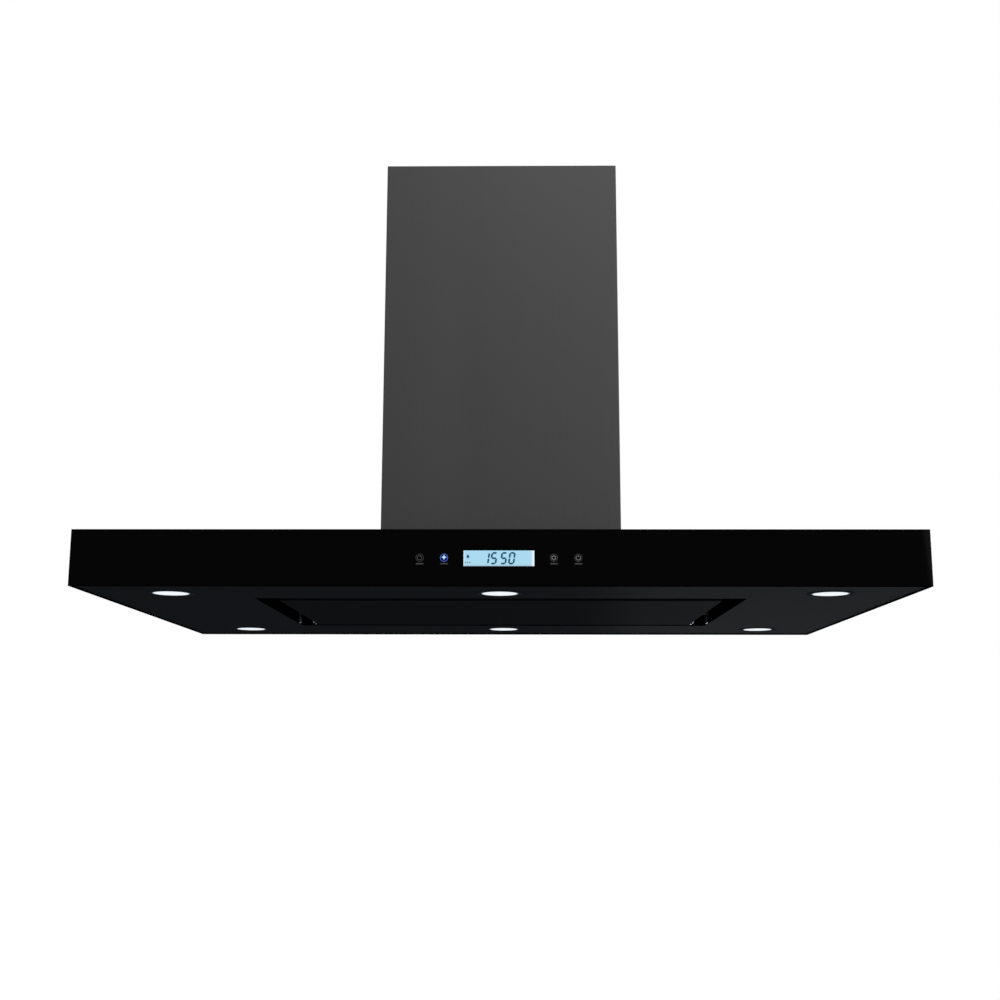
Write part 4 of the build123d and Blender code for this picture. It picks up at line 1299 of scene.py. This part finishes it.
@dataclass
class SuctionPanel(Assembly):
    """Perimeter panel with its hinges and catches, whose plates are riveted to the opening's walls."""

    rivet_radius: float = 0.0017
    rivet_height: float = 0.0009
    rivet_spread: float = 0.0035
    rivet_drop: float = 0.0065
    rivet_dome: float = 0.7
    rivet_corners: int = 24
    plate: float = 0.002

    def rivet(self, place: Vector, outwards: Vector) -> bpy.types.Object:
        """Models one rivet head.

        Args:
            place: Its middle on the plate.
            outwards: Direction that its dome points to.

        Returns:
            The rivet head.
        """
        turn = tuple(outwards.to_track_quat("Z", "Y").to_euler())
        corners = self.rivet_corners
        sizes = {"vertices": corners, "radius": self.rivet_radius, "depth": self.rivet_height}
        head = Bench.start(Primitive.CYLINDER, "rivet", tuple(place), turn, **sizes)
        with Bench.faces(head, lambda middle, normal: normal.dot(outwards) > FACING):
            bpy.ops.mesh.bevel(offset=self.rivet_dome * self.rivet_height, segments=3, affect="EDGES")
        return head

    def rivets(self) -> bpy.types.Object:
        """Models the rivet heads of both hinge brackets and both catches.

        Returns:
            All the rivet heads.
        """
        heads = []
        for side in SIDES:
            low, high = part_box(f"hinge_bracket_{side}")
            outer, inwards = (low.x, 1.0) if side == "left" else (high.x, -1.0)
            level = high.z - self.rivet_drop
            for step in (-self.rivet_spread, self.rivet_spread):
                place = Vector((outer + inwards * self.plate, (low.y + high.y) / 2 + step, level))
                heads.append(self.rivet(place, Vector((inwards, 0.0, 0.0))))
            low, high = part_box(f"catch_{side}")
            for step in (-self.rivet_spread, self.rivet_spread):
                place = Vector(((low.x + high.x) / 2 + step, low.y + self.plate, level))
                heads.append(self.rivet(place, Vector((0.0, 1.0, 0.0))))
        return Bench.join(heads, "panel_rivets")

    def build(self) -> None:
        """Dresses the panel, its hinges and its catches, and rivets them."""
        self.dress(PANEL_PAINT, "perimeter_panel")
        for side in SIDES:
            self.dress(BLACKENED, f"hinge_bracket_{side}", f"catch_{side}")
            self.dress(PIN_STEEL, f"panel_pin_{side}")
        self.dress(ZINC, "panel_strikers")
        self.mount(self.rivets(), BLACKENED, "canopy", "blackened_steel")


@dataclass
class GreaseFilters(Assembly):
    """Two grease filters, each with a sheet of expanded mesh under its pack."""

    cell: tuple[float, float] = (0.0125, 0.0062)
    strand: float = 0.0011
    grip_back: float = 0.0125
    rib_size: Place = (0.0013, 0.0012, 0.0040)
    rib_pitch: float = 0.0032
    rib_edge: float = 0.0003
    rib_lift: float = 0.0004
    rib_count: int = 5

    def latch_ribs(self, side: str) -> bpy.types.Object:
        """Models the finger ribs on the front of one latch's grip.

        Args:
            side: Which latch.

        Returns:
            The ribs.
        """
        low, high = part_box(f"filter_latch_{side}")
        level = low.z + self.rib_lift + self.rib_size[2] / 2
        first = (low.x + high.x - (self.rib_count - 1) * self.rib_pitch) / 2
        ribs = []
        for count in range(self.rib_count):
            place = (first + count * self.rib_pitch, high.y - self.grip_back, level)
            ribs.append(Bench.block("rib", place, self.rib_size, self.rib_edge))
        return Bench.join(ribs, f"latch_ribs_{side}")

    def mesh_sheet(self, side: str) -> bpy.types.Object:
        """Models the sheet of diamond mesh under one filter's pack.

        Args:
            side: Which filter.

        Returns:
            The sheet.
        """
        low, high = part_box(f"filter_mesh_{side}")
        frame_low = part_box(f"filter_frame_{side}")[0]
        size = high - low
        level = (frame_low.z + low.z) / 2
        columns = 2 * round(size.x / self.cell[0])
        rows = 2 * round(size.y / self.cell[1])
        middle = ((low.x + high.x) / 2, (low.y + high.y) / 2, level)
        piece = Bench.start(
            Primitive.GRID,
            f"filter_mesh_sheet_{side}",
            middle,
            scale=(size.x, size.y, 1.0),
            x_subdivisions=columns,
            y_subdivisions=rows,
            size=1.0,
        )
        with Bench.faces(piece):
            bpy.ops.mesh.unsubdivide(iterations=1)
        Bench.apply(piece, "WIREFRAME", thickness=self.strand, use_even_offset=False, use_boundary=True)
        return piece

    def build(self) -> None:
        """Dresses the filters and their latches and models the mesh sheets."""
        for side in SIDES:
            self.dress(ALUMINIUM, f"filter_frame_{side}")
            self.dress(MESH_PACK, f"filter_mesh_{side}")
            self.dress(BLACK_PLASTIC, f"filter_latch_{side}")
            self.mount(self.mesh_sheet(side), ALUMINIUM, "canopy", "filter_mesh")
            self.mount(self.latch_ribs(side), BLACK_PLASTIC, f"filter_latch_{side}", "black_plastic")


@dataclass
class Blower(Assembly):
    """Blower in its box, with the duct collar and its flaps."""

    steel: tuple[str, ...] = ("blower_box", "motor_bracket", "damper_rod")
    mouldings: tuple[str, ...] = ("volute_front", "volute_rear", "impeller")
    outlet: tuple[str, ...] = ("duct_collar", "damper_flap_left", "damper_flap_right")

    def build(self) -> None:
        """Dresses the blower."""
        self.dress(GALVANISED, *self.steel)
        self.dress(GREY_PLASTIC, *self.mouldings)
        self.dress(CASTING, "motor")
        self.dress(ZINC, "motor_shaft")
        self.dress(BLACK_PLASTIC, *self.outlet)


# Studio


@dataclass(frozen=True)
class SoftLamp:
    """A flat lamp that is turned to the hood."""

    name: str
    place: Place
    size: tuple[float, float]
    power: float
    colour: Colour = (1.0, 1.0, 1.0)


@dataclass
class Studio:
    """White studio: a pale floor, soft lamps and a camera low in front of the hood."""

    camera_place: Place = (0.01852, -1.65317, -0.70180)
    yaw: float = -0.01294
    pitch: float = 0.18611
    roll: float = 0.00235
    focal_share: float = 1.30926
    floor_level: float = -2.15
    floor_radius: float = 2.2
    floor_corners: int = 96
    floor_tones: tuple[float, float] = (0.86, 0.90)
    floor_cloud: float = 3.0
    floor_roughness: float = 0.8
    floor_fade: tuple[float, float] = (0.3, 0.95)
    white: tuple[float, ...] = (1.0, 1.0, 1.0, 1.0)
    room_light: float = 0.7
    lamp_target: Place = (0.0, 0.0, -0.4)
    lamps: tuple[SoftLamp, ...] = (
        SoftLamp("key_lamp", (1.91, -2.9, 0.65), (1.4, 2.2), 38.0),
        SoftLamp("top_lamp", (0.35, -2.4, 1.6), (1.2, 1.2), 14.0),
        SoftLamp("rear_lamp", (1.05, 2.85, -0.85), (1.4, 1.4), 31.0, (0.97, 1.0, 1.06)),
    )

    def set_camera(self) -> None:
        """Sets the camera at the photograph's place and angle."""
        data = bpy.data.cameras.new("camera")
        data.lens = self.focal_share * data.sensor_width
        camera = bpy.data.objects.new("camera", data)
        ahead = cos(self.pitch)
        forward = Vector((ahead * sin(self.yaw), ahead * cos(self.yaw), sin(self.pitch)))
        right = Vector((cos(self.yaw), -sin(self.yaw), 0.0))
        up = right.cross(forward)
        tilted_right = right * cos(self.roll) + up * sin(self.roll)
        tilted_up = up * cos(self.roll) - right * sin(self.roll)
        matrix = Matrix((tilted_right, tilted_up, -forward)).transposed().to_4x4()
        matrix.translation = self.camera_place
        camera.matrix_world = matrix
        bpy.context.collection.objects.link(camera)
        bpy.context.scene.camera = camera

    @staticmethod
    def shown(graph: Graph) -> bpy.types.NodeSocket:
        """Wires a share that is 1 for rays which show the background.

        Args:
            graph: Node tree of the world or the floor.

        Returns:
            The share, 1 where the ray is seen, comes off gloss or goes through glass.
        """
        path = graph.add("LightPath").outputs
        direct = graph.math("MAXIMUM", path["Is Camera Ray"], path["Is Glossy Ray"])
        return graph.math("MAXIMUM", direct, path["Is Transmission Ray"])

    def set_world(self) -> None:
        """Sets a white background, which metal and glass show too, and an even room light."""
        world = bpy.data.worlds.new("studio")
        world.use_nodes = True
        world.node_tree.nodes.clear()
        world.cycles.sampling_method = "NONE"
        graph = Graph(world.node_tree)
        white = graph.add("Background", {"Color": self.white, "Strength": 1.0})
        room = graph.add("Background", {"Color": self.white, "Strength": self.room_light})
        mixed = graph.add("MixShader", {0: self.shown(graph), 1: room.outputs[0], 2: white.outputs[0]})
        graph.add("OutputWorld", {"Surface": mixed.outputs[0]})
        bpy.context.scene.world = world

    def set_floor(self) -> None:
        """Lays a pale round floor that fades to white and is clear from below."""
        sizes = {"vertices": self.floor_corners, "radius": self.floor_radius, "fill_type": "NGON"}
        floor = Bench.start(Primitive.CIRCLE, "floor", (0.0, 0.0, self.floor_level), **sizes)
        material, graph, shader = blank("pale_floor", {"Roughness": self.floor_roughness})
        place = graph.add("TexCoord").outputs["Object"]
        dark, pale = ((tone, tone, tone, 1.0) for tone in self.floor_tones)
        tone = graph.tint(dark, pale, graph.noise(place, self.floor_cloud))
        graph.tree.links.new(tone, shader.inputs["Base Color"])
        flat = graph.stretch(place, (1.0, 1.0, 0.0))
        away = graph.add("VectorMath", {0: flat}, operation="LENGTH").outputs["Value"]
        outside = graph.step(away, *(share * self.floor_radius for share in self.floor_fade))
        seen = graph.math("MULTIPLY", outside, self.shown(graph))
        white = graph.add("Emission", {"Color": self.white, "Strength": 1.0})
        faded = graph.add("MixShader", {0: seen, 1: shader.outputs[0], 2: white.outputs[0]})
        clear = graph.add("BsdfTransparent")
        back = graph.add("NewGeometry").outputs["Backfacing"]
        mixed = graph.add("MixShader", {0: back, 1: faded.outputs[0], 2: clear.outputs[0]})
        output = next(node for node in graph.tree.nodes if node.bl_idname == "ShaderNodeOutputMaterial")
        graph.tree.links.new(mixed.outputs[0], output.inputs["Surface"])
        floor.data.materials.append(material)
        floor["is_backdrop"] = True

    def set_lamps(self) -> None:
        """Hangs the soft lamps, all turned to the hood."""
        for lamp in self.lamps:
            data = bpy.data.lights.new(lamp.name, "AREA")
            data.shape = "RECTANGLE"
            data.size, data.size_y = lamp.size
            data.energy = lamp.power
            data.color = lamp.colour
            hung = bpy.data.objects.new(lamp.name, data)
            hung.location = lamp.place
            aim = Vector(self.lamp_target) - Vector(lamp.place)
            hung.rotation_euler = aim.to_track_quat("-Z", "Y").to_euler()
            bpy.context.collection.objects.link(hung)

    def build(self) -> None:
        """Sets up the studio."""
        self.set_camera()
        self.set_world()
        self.set_floor()
        self.set_lamps()
        bpy.context.scene.view_settings.view_transform = "Standard"


def write_sizes() -> None:
    """Works out the solids' box and the dressed hood's box."""
    boxes = [[list(corner) for corner in box] for box in (CAD_BOX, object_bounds())]


def main() -> None:
    """Builds the studio and the hood's sub-assemblies in order."""
    logging.basicConfig(level=logging.INFO, format="%(name)s %(message)s")
    assemblies = (
        Studio(),
        CeilingFrame(),
        Canopy(),
        ClockDisplay(),
        TouchKeys(),
        Lamps(),
        SuctionPanel(),
        GreaseFilters(),
        Blower(),
    )
    for assembly in assemblies:
        assembly.build()
    write_sizes()


if __name__ == "__main__":
    main()
